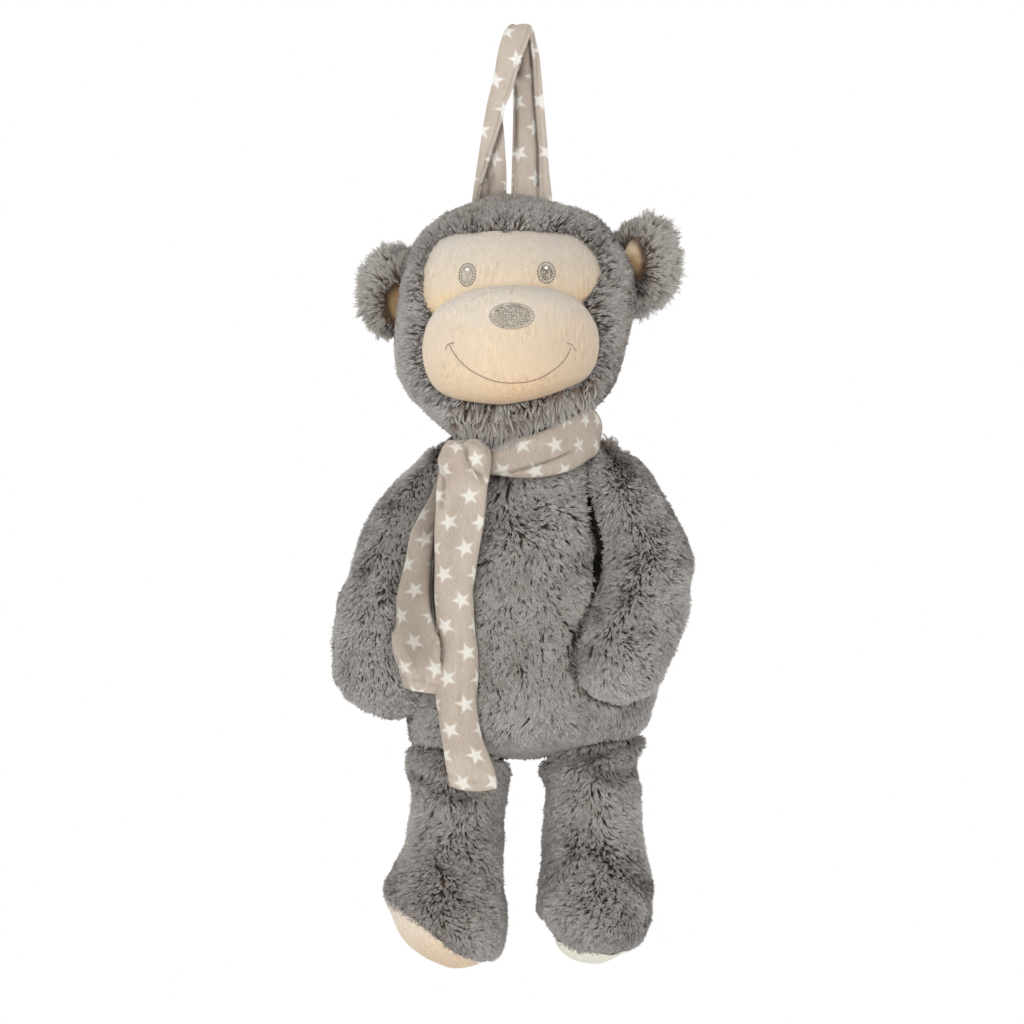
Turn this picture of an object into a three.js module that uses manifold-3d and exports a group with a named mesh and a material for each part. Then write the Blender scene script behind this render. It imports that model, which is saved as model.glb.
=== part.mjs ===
// Plush animal backpack that hangs by a star-print loop. Millimetres, +Z up, the front faces -Y.
// The origin is the hang point, under the fold of the loop. Left and right are the viewer's.
// Plush pieces have the outer form of their pile.
import * as THREE from "three";
import { mergeVertices } from "three/addons/utils/BufferGeometryUtils.js";
import Module from "manifold-3d";

const wasm = await Module();
wasm.setup();

// Driving dimensions
const GAP = 0.3; // between sewn neighbours
const SEAM = 1; // room round the edge of a face panel
const PILE = 9; // height of the plush pile
const BACKING = 3; // knitted backing and wadding under the pile
const WALL = PILE + BACKING; // bag wall
const FACE_SINK = 2.5; // face cloth lies this far under the pile's tips
const FACE_CLOTH = 2.5; // thickness of the face cloth
const MUZZLE_DOME = 17; // stuffed height of the muzzle
const LINING = 1.8; // thickness of an ear lining
const LOOP_WIDTH = 18; // flat width of the hang loop's strap
const LOOP_THICK = 2.4; // two layers of doubled cloth
const STRAP_WIDTH = 22;
const STRAP_THICK = 3;
const SCARF_THICK = 3; // doubled cloth
const BAND_THICK = 5; // the scarf bunches round the neck
const ZIP = { x: 4, width: 16, top: -230, bottom: -334, sink: 7, thick: 2 };

const COLOUR = { plush: 0x8a847e, cream: 0xeed9bc, lining: 0xc9b294, cloth: 0xc4b8a8, tape: 0xa79c8f, metal: 0x9a9892 };

// Stuffed forms: a row for each level from the top pole to the bottom pole
const HEAD = [
  { z: -81.5, left: -5, right: -5, front: 2, back: 2 },
  { z: -86, left: -27, right: 18, front: -14, back: 20 },
  { z: -90.5, left: -38.5, right: 33, front: -22, back: 28 },
  { z: -96.5, left: -47, right: 40.5, front: -29, back: 34 },
  { z: -104.5, left: -54, right: 47.5, front: -36, back: 39 },
  { z: -114.5, left: -58.5, right: 53, front: -41, back: 43 },
  { z: -127, left: -62, right: 56, front: -45, back: 46 },
  { z: -142, left: -64, right: 55, front: -47, back: 47 },
  { z: -157, left: -65, right: 51.5, front: -47, back: 46 },
  { z: -169.5, left: -64, right: 48, front: -46, back: 43 },
  { z: -180.5, left: -59, right: 43, front: -43, back: 38 },
  { z: -189.5, left: -51, right: 35, front: -39, back: 32 },
  { z: -198.5, left: -41.5, right: 23, front: -34, back: 26 },
  { z: -206, left: -31, right: 12, front: -25, back: 18 },
  { z: -211, left: -9.5, right: -9.5, front: -3, back: -3 },
];
const TORSO = [
  { z: -202.5, left: -2, right: -2, front: 0, back: 0 },
  { z: -206.5, left: -26, right: 22, front: -20, back: 20 },
  { z: -212.5, left: -36, right: 34, front: -28, back: 27 },
  { z: -222, left: -40, right: 41, front: -33, back: 31 },
  { z: -234.5, left: -42.5, right: 45, front: -35, back: 34 },
  { z: -254.5, left: -48, right: 53, front: -39, back: 37 },
  { z: -279.5, left: -54, right: 60.5, front: -43, back: 40 },
  { z: -304.5, left: -57.5, right: 66, front: -46, back: 42 },
  { z: -324.5, left: -58.5, right: 67.5, front: -47, back: 42 },
  { z: -339.5, left: -59, right: 64.5, front: -45, back: 40 },
  { z: -349.5, left: -58.5, right: 59.5, front: -40, back: 36 },
  { z: -356, left: -55.5, right: 44, front: -32, back: 29 },
  { z: -361, left: -42, right: 24, front: -20, back: 18 },
  { z: -364.5, left: -6, right: -6, front: -1, back: -1 },
];
const ARM_LEFT = [
  { z: -206, left: -43, right: -43, front: 1, back: 1 },
  { z: -210.5, left: -50, right: -37, front: -10, back: 12 },
  { z: -216.5, left: -56, right: -36, front: -15, back: 16 },
  { z: -222.5, left: -63, right: -36, front: -18, back: 18 },
  { z: -234.5, left: -73.5, right: -37, front: -21, back: 20 },
  { z: -246.5, left: -80.5, right: -38.5, front: -23, back: 20 },
  { z: -258.5, left: -84.5, right: -40, front: -25, back: 19 },
  { z: -270.5, left: -88, right: -42, front: -27, back: 17 },
  { z: -282.5, left: -93, right: -44, front: -29, back: 16 },
  { z: -294.5, left: -95, right: -45.5, front: -31, back: 14 },
  { z: -306.5, left: -96, right: -46, front: -32, back: 13 },
  { z: -318, left: -96, right: -45.5, front: -32, back: 12 },
  { z: -330, left: -92, right: -45, front: -30, back: 10 },
  { z: -337, left: -84.5, right: -48, front: -25, back: 5 },
  { z: -342, left: -74.5, right: -56, front: -17, back: -3 },
  { z: -344, left: -66, right: -66, front: -10, back: -10 },
];
const ARM_RIGHT = [
  { z: -202.5, left: 41, right: 41, front: 0, back: 0 },
  { z: -207.5, left: 33, right: 48, front: -12, back: 12 },
  { z: -212.5, left: 29.5, right: 56, front: -19, back: 15 },
  { z: -219.5, left: 26.5, right: 63, front: -25, back: 17 },
  { z: -228.5, left: 26.5, right: 68.5, front: -30, back: 18 },
  { z: -240.5, left: 30, right: 75.5, front: -33, back: 17 },
  { z: -252.5, left: 34.5, right: 81.5, front: -36, back: 14 },
  { z: -264.5, left: 37, right: 84.5, front: -42, back: 8 },
  { z: -276, left: 36.5, right: 83, front: -46, back: 1 },
  { z: -288, left: 30.5, right: 81.5, front: -51, back: -5 },
  { z: -300, left: 26, right: 78.5, front: -55, back: -10 },
  { z: -311.5, left: 23.5, right: 74, front: -57, back: -13 },
  { z: -323.5, left: 25, right: 68.5, front: -55, back: -16 },
  { z: -330.5, left: 31.5, right: 62.5, front: -49, back: -22 },
  { z: -333.5, left: 39.5, right: 55, front: -43, back: -29 },
  { z: -335.5, left: 47.5, right: 47.5, front: -36, back: -36 },
];
const LEG_LEFT = [
  { z: -348.5, left: -33, right: -33, front: 0, back: 0 },
  { z: -352.5, left: -52, right: -12, front: -16, back: 18 },
  { z: -358.5, left: -58, right: -7, front: -22, back: 22 },
  { z: -366.5, left: -59.5, right: -6, front: -24, back: 24 },
  { z: -378.5, left: -57.5, right: -7, front: -24, back: 24 },
  { z: -390.5, left: -57.5, right: -9, front: -24, back: 24 },
  { z: -402.5, left: -59.5, right: -9, front: -27, back: 24 },
  { z: -414, left: -64.5, right: -10, front: -34, back: 23 },
  { z: -425.5, left: -70, right: -9.5, front: -44, back: 22 },
  { z: -433.5, left: -69.8, right: -8, front: -50, back: 21 },
  { z: -441, left: -66.8, right: -7.5, front: -53, back: 19 },
  { z: -449, left: -63.3, right: -8, front: -53, back: 15 },
  { z: -456, left: -58, right: -9.5, front: -49, back: 8 },
  { z: -461.5, left: -50.5, right: -13.5, front: -42, back: -3 },
  { z: -465.5, left: -42, right: -23, front: -33, back: -14 },
  { z: -467.5, left: -33.5, right: -33.5, front: -24, back: -24 },
];
const LEG_RIGHT = [
  { z: -345.5, left: 35.5, right: 35.5, front: 0, back: 0 },
  { z: -350.5, left: 16, right: 58, front: -16, back: 18 },
  { z: -357.5, left: 8.5, right: 59.5, front: -22, back: 22 },
  { z: -366.5, left: 7.5, right: 57.5, front: -24, back: 24 },
  { z: -378.5, left: 9.5, right: 59, front: -24, back: 24 },
  { z: -390.5, left: 9.5, right: 59.5, front: -24, back: 24 },
  { z: -402.5, left: 8.5, right: 60.5, front: -27, back: 24 },
  { z: -414, left: 8, right: 62.5, front: -34, back: 23 },
  { z: -425.5, left: 6.5, right: 65, front: -43, back: 22 },
  { z: -435.5, left: 5.5, right: 64.5, front: -49, back: 20 },
  { z: -443, left: 9.5, right: 63.5, front: -52, back: 17 },
  { z: -450, left: 13.5, right: 61, front: -51, back: 12 },
  { z: -456, left: 15.5, right: 56, front: -46, back: 5 },
  { z: -460.5, left: 19.5, right: 49, front: -38, back: -4 },
  { z: -463.5, left: 24.5, right: 43, front: -30, back: -13 },
  { z: -465.5, left: 35, right: 35, front: -21, back: -21 },
];
// Panels on the head's front: a row for each level of the outline
const FACE = [
  { z: -101.5, left: -8, right: -8 },
  { z: -102.5, left: -34, right: 20 },
  { z: -104, left: -40, right: 26 },
  { z: -108, left: -45, right: 31.5 },
  { z: -114, left: -48.5, right: 36 },
  { z: -121.5, left: -50.5, right: 38.5 },
  { z: -129, left: -51, right: 35.8 },
  { z: -135, left: -50, right: 31.2 },
  { z: -140, left: -47.5, right: 26.5 },
  { z: -145, left: -41.5, right: 20 },
  { z: -149, left: -10.5, right: -10.5 },
];
const MUZZLE = [
  { z: -129, left: -5.5, right: -5.5 },
  { z: -130.5, left: -22.5, right: 13 },
  { z: -133, left: -30.5, right: 21 },
  { z: -136.5, left: -38, right: 27 },
  { z: -142.5, left: -45, right: 32.5 },
  { z: -150.5, left: -49, right: 36.5 },
  { z: -159, left: -50.5, right: 37.2 },
  { z: -166, left: -50, right: 36 },
  { z: -171, left: -48.7, right: 33.5 },
  { z: -175, left: -47, right: 30 },
  { z: -178.5, left: -44.8, right: 23.5 },
  { z: -182, left: -40.5, right: 15 },
  { z: -184.7, left: -34, right: 6.5 },
  { z: -186.5, left: -24, right: -3 },
  { z: -187.5, left: -12, right: -12 },
];
// Ears: centre, half sizes, how far each leans, and where the dish that holds the lining lies from the ear's centre
const EARS = {
  left: { x: -63, y: 6, z: -130, wide: 21.5, thick: 11, high: 25, lean: 4, yaw: -14, dish: { x: -0.5, z: -6 } },
  right: { x: 58.5, y: 6, z: -115.5, wide: 21, thick: 11, high: 26, lean: -16, yaw: 12, dish: { x: -4, z: 0.5 } },
};
const DISH = { y: -13.5, wide: 9.5, thick: 8.5, high: 15 };
// Soles: a point on the seam and the way that the sole faces
const SOLES = {
  left: { x: -48, y: -45, z: -445.5, facing: { x: -0.56, y: -0.14, z: -0.81 } },
  right: { x: 36, y: -45, z: -456, facing: { x: -0.12, y: -0.14, z: -0.98 } },
};
// Scarf: neck band by quarter turns, knot, tails from the knot to the hem
const BAND = { x: -1, y: -3, wide: 42, deep: 37 };
const BAND_LEVELS = [
  { turn: 0, z: -200.5, half: 11 },
  { turn: 90, z: -196, half: 10 },
  { turn: 180, z: -209, half: 10 },
  { turn: 270, z: -214.5, half: 10.5 },
  { turn: 360, z: -200.5, half: 11 },
];
const KNOT = [
  { z: -203, left: -25, right: -25, front: -43, back: -43 },
  { z: -206, left: -33, right: -18.5, front: -49, back: -33 },
  { z: -213, left: -39, right: -16.5, front: -54, back: -31 },
  { z: -221, left: -40.5, right: -17, front: -55, back: -34 },
  { z: -227, left: -38, right: -20, front: -53, back: -40 },
  { z: -230, left: -29, right: -29, front: -49, back: -49 },
];
const LONG_TAIL = [
  { x: -28, y: -50, z: -216, half: 8.5 },
  { x: -30, y: -51, z: -225, half: 12 },
  { x: -32, y: -49, z: -246.5, half: 12.5 },
  { x: -34.5, y: -48, z: -279, half: 10 },
  { x: -33, y: -48.5, z: -302.5, half: 9.5 },
  { x: -33.5, y: -48.5, z: -326, half: 10 },
  { x: -31, y: -47, z: -352.5, half: 10 },
  { x: -27.5, y: -45, z: -365, half: 11 },
  { x: -25, y: -43, z: -377, half: 12 },
];
const SHORT_TAIL = [
  { x: -32, y: -47, z: -220, half: 7 },
  { x: -37, y: -44, z: -229.5, half: 8.5 },
  { x: -42.5, y: -40.5, z: -244.5, half: 9.5 },
  { x: -47.5, y: -39, z: -266.5, half: 10 },
  { x: -54, y: -38, z: -291, half: 10.5 },
  { x: -54, y: -39, z: -306, half: 13 },
  { x: -52.5, y: -40, z: -318.5, half: 11.5 },
  { x: -52, y: -40, z: -329, half: 9.5 },
];
// Hang loop from its front end over the fold to its back end; half is half the width that shows, the rest curls back
const LOOP = [
  { x: -16.5, y: 9, z: -92, half: 8.5 },
  { x: -16.5, y: 6, z: -78, half: 8 },
  { x: -16, y: 1, z: -66, half: 7 },
  { x: -15, y: -4, z: -54.5, half: 6 },
  { x: -14, y: -7, z: -43, half: 5 },
  { x: -11.5, y: -8.5, z: -31, half: 5.5 },
  { x: -9, y: -8.5, z: -21, half: 6.5 },
  { x: -6.5, y: -7, z: -9, half: 7 },
  { x: -3.5, y: 0, z: 1.3, half: 7.5 },
  { x: 0.5, y: 9, z: -9, half: 7 },
  { x: 1.5, y: 12, z: -20, half: 6.5 },
  { x: 2, y: 13.5, z: -30, half: 7 },
  { x: 2.5, y: 14, z: -42, half: 7.5 },
  { x: 2.5, y: 14, z: -54, half: 8 },
  { x: 3, y: 13.5, z: -66, half: 8.5 },
  { x: 3, y: 13, z: -78, half: 8.8 },
  { x: 3, y: 13, z: -92, half: 8.8 },
];
// Carrying straps, one side; side is the distance from the zip's line
const STRAP = [
  { side: 20, y: 25, z: -222 },
  { side: 22, y: 40, z: -222 },
  { side: 26, y: 58, z: -235 },
  { side: 31, y: 71, z: -262 },
  { side: 36, y: 75, z: -292 },
  { side: 41, y: 66, z: -322 },
  { side: 44, y: 48, z: -341 },
  { side: 45, y: 28, z: -345 },
];

// Value of a column between rows, by a monotone cubic
function between(rows, key, read, at) {
  const k = rows.map((r) => r[key]);
  const v = rows.map(read);
  const n = rows.length;
  const up = k[n - 1] > k[0];
  let i = 0;
  while (i < n - 2 && (up ? at > k[i + 1] : at < k[i + 1])) i++;
  const slope = (j) => (v[j + 1] - v[j]) / (k[j + 1] - k[j]);
  const tangent = (j) => {
    if (j === 0) return slope(0);
    if (j === n - 1) return slope(n - 2);
    const a = slope(j - 1);
    const b = slope(j);
    return a * b <= 0 ? 0 : (2 * a * b) / (a + b);
  };
  const h = k[i + 1] - k[i];
  const t = THREE.MathUtils.clamp((at - k[i]) / h, 0, 1);
  const t2 = t * t;
  const t3 = t2 * t;
  return (
    (2 * t3 - 3 * t2 + 1) * v[i] + (t3 - 2 * t2 + t) * h * tangent(i) + (3 * t2 - 2 * t3) * v[i + 1] + (t3 - t2) * h * tangent(i + 1)
  );
}

// Level section of a stuffed form: squared half sizes are blended, so the poles come out round
function section(rows, z) {
  return {
    x: between(rows, "z", (r) => (r.left + r.right) / 2, z),
    y: between(rows, "z", (r) => (r.front + r.back) / 2, z),
    wide: Math.sqrt(Math.max(0, between(rows, "z", (r) => ((r.right - r.left) / 2) ** 2, z))),
    deep: Math.sqrt(Math.max(0, between(rows, "z", (r) => ((r.back - r.front) / 2) ** 2, z))),
  };
}

// Front of a stuffed form at a point seen from the front
function frontOf(rows, x, z) {
  const s = section(rows, z);
  const u = Math.min(0.985, Math.abs(x - s.x) / Math.max(s.wide, 1e-6));
  return s.y - s.deep * Math.sqrt(1 - u * u);
}

function mapped(geometry, place) {
  const p = geometry.attributes.position;
  const v = new THREE.Vector3();
  for (let i = 0; i < p.count; i++) {
    v.fromBufferAttribute(p, i);
    place(v);
    p.setXYZ(i, v.x, v.y, v.z);
  }
  return geometry;
}

// Ball whose poles lie on Z
function ball(sides, rings) {
  return new THREE.SphereGeometry(1, sides, rings).rotateX(Math.PI / 2);
}

function stuffed(rows, grow = 0, sides = 20, rings = 16) {
  const top = rows[0].z;
  const bottom = rows[rows.length - 1].z;
  return mapped(ball(sides, rings), (v) => {
    const z = (top + bottom) / 2 + ((top - bottom) / 2) * v.z;
    const s = section(rows, z);
    const round = Math.hypot(v.x, v.y);
    const c = round > 1e-6 ? v.x / round : 0;
    const d = round > 1e-6 ? v.y / round : 0;
    const pinch = round > 1e-6 ? 1 : 0;
    v.set(
      s.x + Math.max(0.5 * pinch, s.wide + grow * pinch) * c,
      s.y + Math.max(0.5 * pinch, s.deep + grow * pinch) * d,
      z + grow * v.z,
    );
  });
}

// Panel over the head's front: ahead and behind are measured from the sunken face cloth
function panel(rows, { ahead, behind, grow = 0, fullness = 3, sides = 20, rings = 10 }) {
  const top = rows[0].z;
  const bottom = rows[rows.length - 1].z;
  return mapped(ball(sides, rings), (v) => {
    const z = (top + bottom) / 2 + ((top - bottom) / 2) * v.z;
    const middle = between(rows, "z", (r) => (r.left + r.right) / 2, z);
    const half = Math.sqrt(Math.max(0, between(rows, "z", (r) => ((r.right - r.left) / 2) ** 2, z)));
    const round = Math.hypot(v.x, v.y);
    const x = middle + (round > 1e-6 ? ((half + grow) * v.x) / round : 0);
    const depth = 1 - (1 - Math.min(1, Math.abs(v.y))) ** fullness;
    const level = z + grow * v.z;
    const seat = frontOf(HEAD, x, level) + FACE_SINK;
    v.set(x, v.y < 0 ? seat - ahead * depth : seat + behind * depth, level);
  });
}

// Band of cloth along a table of points; curl bends its edges back
function ribbon(points, half, thick, curl, steps, across = 4) {
  const path = new THREE.CatmullRomCurve3(points, false, "centripetal");
  const box = new THREE.BoxGeometry(2, 1, 1, across, 1, steps);
  const side = new THREE.Vector3();
  const face = new THREE.Vector3();
  return mapped(box, (v) => {
    const t = THREE.MathUtils.clamp(v.z + 0.5, 0, 1);
    const tangent = path.getTangent(t);
    side.set(1, 0, 0).addScaledVector(tangent, -tangent.x).normalize();
    face.crossVectors(tangent, side).normalize();
    const bend = curl(t) * v.x * v.x;
    const wide = half(t) * v.x;
    const out = thick * v.y;
    v.copy(path.getPoint(t)).addScaledVector(side, wide).addScaledVector(face, out);
    v.y += bend;
  });
}

function column(rows, key, t) {
  const place = t * (rows.length - 1);
  const i = Math.min(rows.length - 2, Math.floor(place));
  return THREE.MathUtils.lerp(rows[i][key], rows[i + 1][key], place - i);
}

function solid(geometry) {
  const bare = new THREE.BufferGeometry();
  bare.setAttribute("position", geometry.attributes.position);
  bare.setIndex(geometry.index);
  const g = mergeVertices(bare, 1e-3);
  return new wasm.Manifold(
    new wasm.Mesh({
      numProp: 3,
      vertProperties: Float32Array.from(g.attributes.position.array),
      triVerts: Uint32Array.from(g.index.array),
    }),
  );
}

function box(x0, x1, y0, y1, z0, z1) {
  return solid(new THREE.BoxGeometry(x1 - x0, y1 - y0, z1 - z0).translate((x0 + x1) / 2, (y0 + y1) / 2, (z0 + z1) / 2));
}

const group = new THREE.Group();
group.name = "plush_backpack";

function piece(name, body, colour, roughness = 0.95, metalness = 0) {
  const m = body.getMesh();
  const g = new THREE.BufferGeometry();
  g.setAttribute("position", new THREE.BufferAttribute(Float32Array.from(m.vertProperties), 3));
  g.setIndex(new THREE.BufferAttribute(Uint32Array.from(m.triVerts), 1));
  g.computeVertexNormals();
  const mesh = new THREE.Mesh(g, new THREE.MeshStandardMaterial({ color: colour, roughness, metalness }));
  mesh.name = name;
  group.add(mesh);
}

// Scarf
function neckBand(grow) {
  const tube = 0.3;
  return solid(
    mapped(new THREE.TorusGeometry(1, tube, 6, 26), (v) => {
      const turn = Math.atan2(v.y, v.x);
      const degrees = THREE.MathUtils.euclideanModulo(THREE.MathUtils.radToDeg(turn), 360);
      const out = ((Math.hypot(v.x, v.y) - 1) / tube) * (BAND_THICK / 2 + grow);
      const rise = (v.z / tube) * (between(BAND_LEVELS, "turn", (r) => r.half, degrees) + grow);
      v.set(
        BAND.x + (BAND.wide + out) * Math.cos(turn),
        BAND.y + (BAND.deep + out) * Math.sin(turn),
        between(BAND_LEVELS, "turn", (r) => r.z, degrees) + rise,
      );
    }),
  );
}

function tail(rows, grow) {
  const points = rows.map((r) => new THREE.Vector3(r.x, r.y, r.z));
  return solid(ribbon(points, (t) => column(rows, "half", t) + grow, SCARF_THICK + 2 * grow, () => 0, 12, 1));
}

function scarf(grow) {
  return neckBand(grow)
    .add(solid(stuffed(KNOT, grow, 12, 7)))
    .add(tail(LONG_TAIL, grow))
    .add(tail(SHORT_TAIL, grow));
}
const scarfBody = scarf(0);
const scarfRoom = scarf(GAP);

// Head, face and ears
const muzzle = solid(panel(MUZZLE, { ahead: MUZZLE_DOME, behind: 2, fullness: 2.2 }));
const muzzleRoom = solid(panel(MUZZLE, { ahead: MUZZLE_DOME + 8, behind: 2 + 2 * GAP, grow: SEAM, fullness: 2.2 }));
const face = solid(panel(FACE, { ahead: 0, behind: FACE_CLOTH })).subtract(muzzleRoom);
const faceRoom = solid(panel(FACE, { ahead: 14, behind: FACE_CLOTH + 2 * GAP, grow: SEAM }));
const headForm = solid(stuffed(HEAD, 0, 24, 17));
const headRoom = solid(stuffed(HEAD, GAP, 24, 17));
piece("head", headForm.subtract(faceRoom).subtract(muzzleRoom).subtract(scarfRoom), COLOUR.plush);
piece("face_patch", face, COLOUR.cream);
piece("muzzle", muzzle, COLOUR.cream);

function earPart(e, half, { x, y, z }, grow, sides, rings) {
  const turn = new THREE.Matrix4().makeRotationFromEuler(
    new THREE.Euler(0, THREE.MathUtils.degToRad(-e.lean), THREE.MathUtils.degToRad(e.yaw), "ZYX"),
  );
  const g = ball(sides, rings)
    .scale(half.wide + grow, half.thick + grow, half.high + grow)
    .translate(x, y, z)
    .applyMatrix4(turn)
    .translate(e.x, e.y, e.z);
  return solid(g);
}
for (const [name, e] of Object.entries(EARS)) {
  const form = earPart(e, e, { x: 0, y: 0, z: 0 }, 0, 14, 9);
  const dish = (grow) => earPart(e, DISH, { x: e.dish.x, y: DISH.y, z: e.dish.z }, grow, 12, 8);
  piece(`ear_${name}`, form.subtract(dish(LINING + GAP)).subtract(headRoom), COLOUR.plush);
  piece(`ear_lining_${name}`, form.intersect(dish(LINING)).subtract(dish(0)).subtract(headRoom), COLOUR.lining);
}

// Bag, arms and legs
const torsoForm = solid(stuffed(TORSO, 0, 22, 16));
const torsoRoom = solid(stuffed(TORSO, GAP, 22, 16));
const slot = box(ZIP.x - ZIP.width / 2, ZIP.x + ZIP.width / 2, 8, 90, ZIP.bottom, ZIP.top);
piece(
  "torso_bag",
  torsoForm
    .subtract(solid(stuffed(TORSO, -WALL, 18, 11)))
    .subtract(slot)
    .subtract(headRoom)
    .subtract(scarfRoom),
  COLOUR.plush,
);
for (const [name, rows] of Object.entries({ arm_left: ARM_LEFT, arm_right: ARM_RIGHT })) {
  piece(name, solid(stuffed(rows, 0, 16, 13)).subtract(torsoRoom).subtract(scarfRoom), COLOUR.plush);
}
for (const [name, rows] of Object.entries({ left: LEG_LEFT, right: LEG_RIGHT })) {
  const s = SOLES[name];
  const facing = new THREE.Vector3(s.facing.x, s.facing.y, s.facing.z).normalize();
  const below = (gap) => {
    const g = new THREE.BoxGeometry(300, 300, 300).translate(0, 0, 150 - gap);
    g.applyQuaternion(new THREE.Quaternion().setFromUnitVectors(new THREE.Vector3(0, 0, 1), facing));
    return solid(g.translate(s.x, s.y, s.z));
  };
  const form = solid(stuffed(rows, 0, 16, 14));
  piece(`leg_${name}`, form.subtract(below(GAP)).subtract(torsoRoom).subtract(scarfRoom), COLOUR.plush);
  piece(`sole_${name}`, form.intersect(below(0)), COLOUR.cream);
}
piece("scarf", scarfBody, COLOUR.cloth);

// Hang loop
const loopPoints = LOOP.map((r) => new THREE.Vector3(r.x, r.y, r.z));
const loopHalf = (t) => column(LOOP, "half", t);
const loopCurl = (t) => 0.75 * Math.sqrt(Math.max(0, (LOOP_WIDTH / 2) ** 2 - loopHalf(t) ** 2)) * Math.sin(Math.PI * Math.min(1, Math.abs(2 * t - 1) * 1.15)) ** 0.5;
piece("hang_loop", solid(ribbon(loopPoints, loopHalf, LOOP_THICK, loopCurl, 30, 4)).subtract(headRoom), COLOUR.cloth);

// Carrying straps
for (const [name, sign] of Object.entries({ left: -1, right: 1 })) {
  const points = STRAP.map((r) => new THREE.Vector3(ZIP.x + sign * r.side, r.y, r.z));
  const band = solid(ribbon(points, () => STRAP_WIDTH / 2, STRAP_THICK, () => 0, 24, 1));
  piece(`shoulder_strap_${name}`, band.subtract(torsoRoom), COLOUR.cloth);
}

// Zip
const zipY = (z) => between(TORSO, "z", (r) => r.back, z) - ZIP.sink;
const zipHigh = ZIP.top - ZIP.bottom - 2 * GAP;
const zipTape = mapped(new THREE.BoxGeometry(ZIP.width - 2 * GAP, ZIP.thick, zipHigh, 1, 1, 12), (v) => {
  const z = (ZIP.top + ZIP.bottom) / 2 + v.z;
  v.set(ZIP.x + v.x, zipY(z) + v.y - ZIP.thick / 2, z);
});
piece("zip_tape", solid(zipTape), COLOUR.tape);

const PULL = { z: ZIP.top - 9, slider: { wide: 8, deep: 4, high: 10 }, tab: { wide: 7, thick: 1.6, high: 22 } };
const pullY = zipY(PULL.z - 14) + 1.6;
const tabShape = new THREE.Shape();
tabShape.moveTo(-PULL.tab.wide / 2, 0);
tabShape.lineTo(-PULL.tab.wide / 2, -PULL.tab.high);
tabShape.absarc(0, -PULL.tab.high, PULL.tab.wide / 2, Math.PI, 2 * Math.PI, false);
tabShape.lineTo(PULL.tab.wide / 2, 0);
const tab = new THREE.ExtrudeGeometry(tabShape, { depth: PULL.tab.thick, bevelEnabled: false, curveSegments: 8 });
tab.rotateX(Math.PI / 2).translate(ZIP.x, pullY + PULL.slider.deep, PULL.z);
const slider = box(
  ZIP.x - PULL.slider.wide / 2,
  ZIP.x + PULL.slider.wide / 2,
  pullY,
  pullY + PULL.slider.deep,
  PULL.z - PULL.slider.high / 2,
  PULL.z + PULL.slider.high / 2,
);
piece("zip_pull", slider.add(solid(tab)), COLOUR.metal, 0.4, 0.9);

export default group;
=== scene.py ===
import math

import bpy
import numpy as np
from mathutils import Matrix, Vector
from mathutils.bvhtree import BVHTree
from mathutils.kdtree import KDTree


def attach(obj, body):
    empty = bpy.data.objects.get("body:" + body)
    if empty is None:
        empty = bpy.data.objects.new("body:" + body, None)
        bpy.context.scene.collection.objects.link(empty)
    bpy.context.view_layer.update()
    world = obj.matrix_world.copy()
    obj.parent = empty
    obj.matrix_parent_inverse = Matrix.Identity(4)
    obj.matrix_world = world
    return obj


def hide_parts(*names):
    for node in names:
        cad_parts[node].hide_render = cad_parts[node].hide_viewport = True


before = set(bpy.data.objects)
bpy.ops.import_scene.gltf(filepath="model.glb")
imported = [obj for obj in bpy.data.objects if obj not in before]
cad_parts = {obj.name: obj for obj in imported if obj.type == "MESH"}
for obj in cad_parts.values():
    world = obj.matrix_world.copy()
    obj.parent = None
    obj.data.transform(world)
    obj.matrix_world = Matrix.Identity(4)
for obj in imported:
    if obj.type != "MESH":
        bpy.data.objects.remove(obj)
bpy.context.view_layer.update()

MM = 0.001
ROOT = "root"

# ---------------------------------------------------------------- sizes, millimetres
CAMERA_FAR = 2600.0          # camera to the hang point's plane
FRAME_WIDE = 512.0           # width of view there
AIM = (-6.0, -240.5)         # x, z of the picture's middle
FACE_SINK = 2.5
MUZZLE_DOME = 17.0
PILE = 4.0
ZIP = dict(x=4.0, width=16.0, top=-230.0, bottom=-334.0, sink=7.0, thick=2.0)

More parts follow.
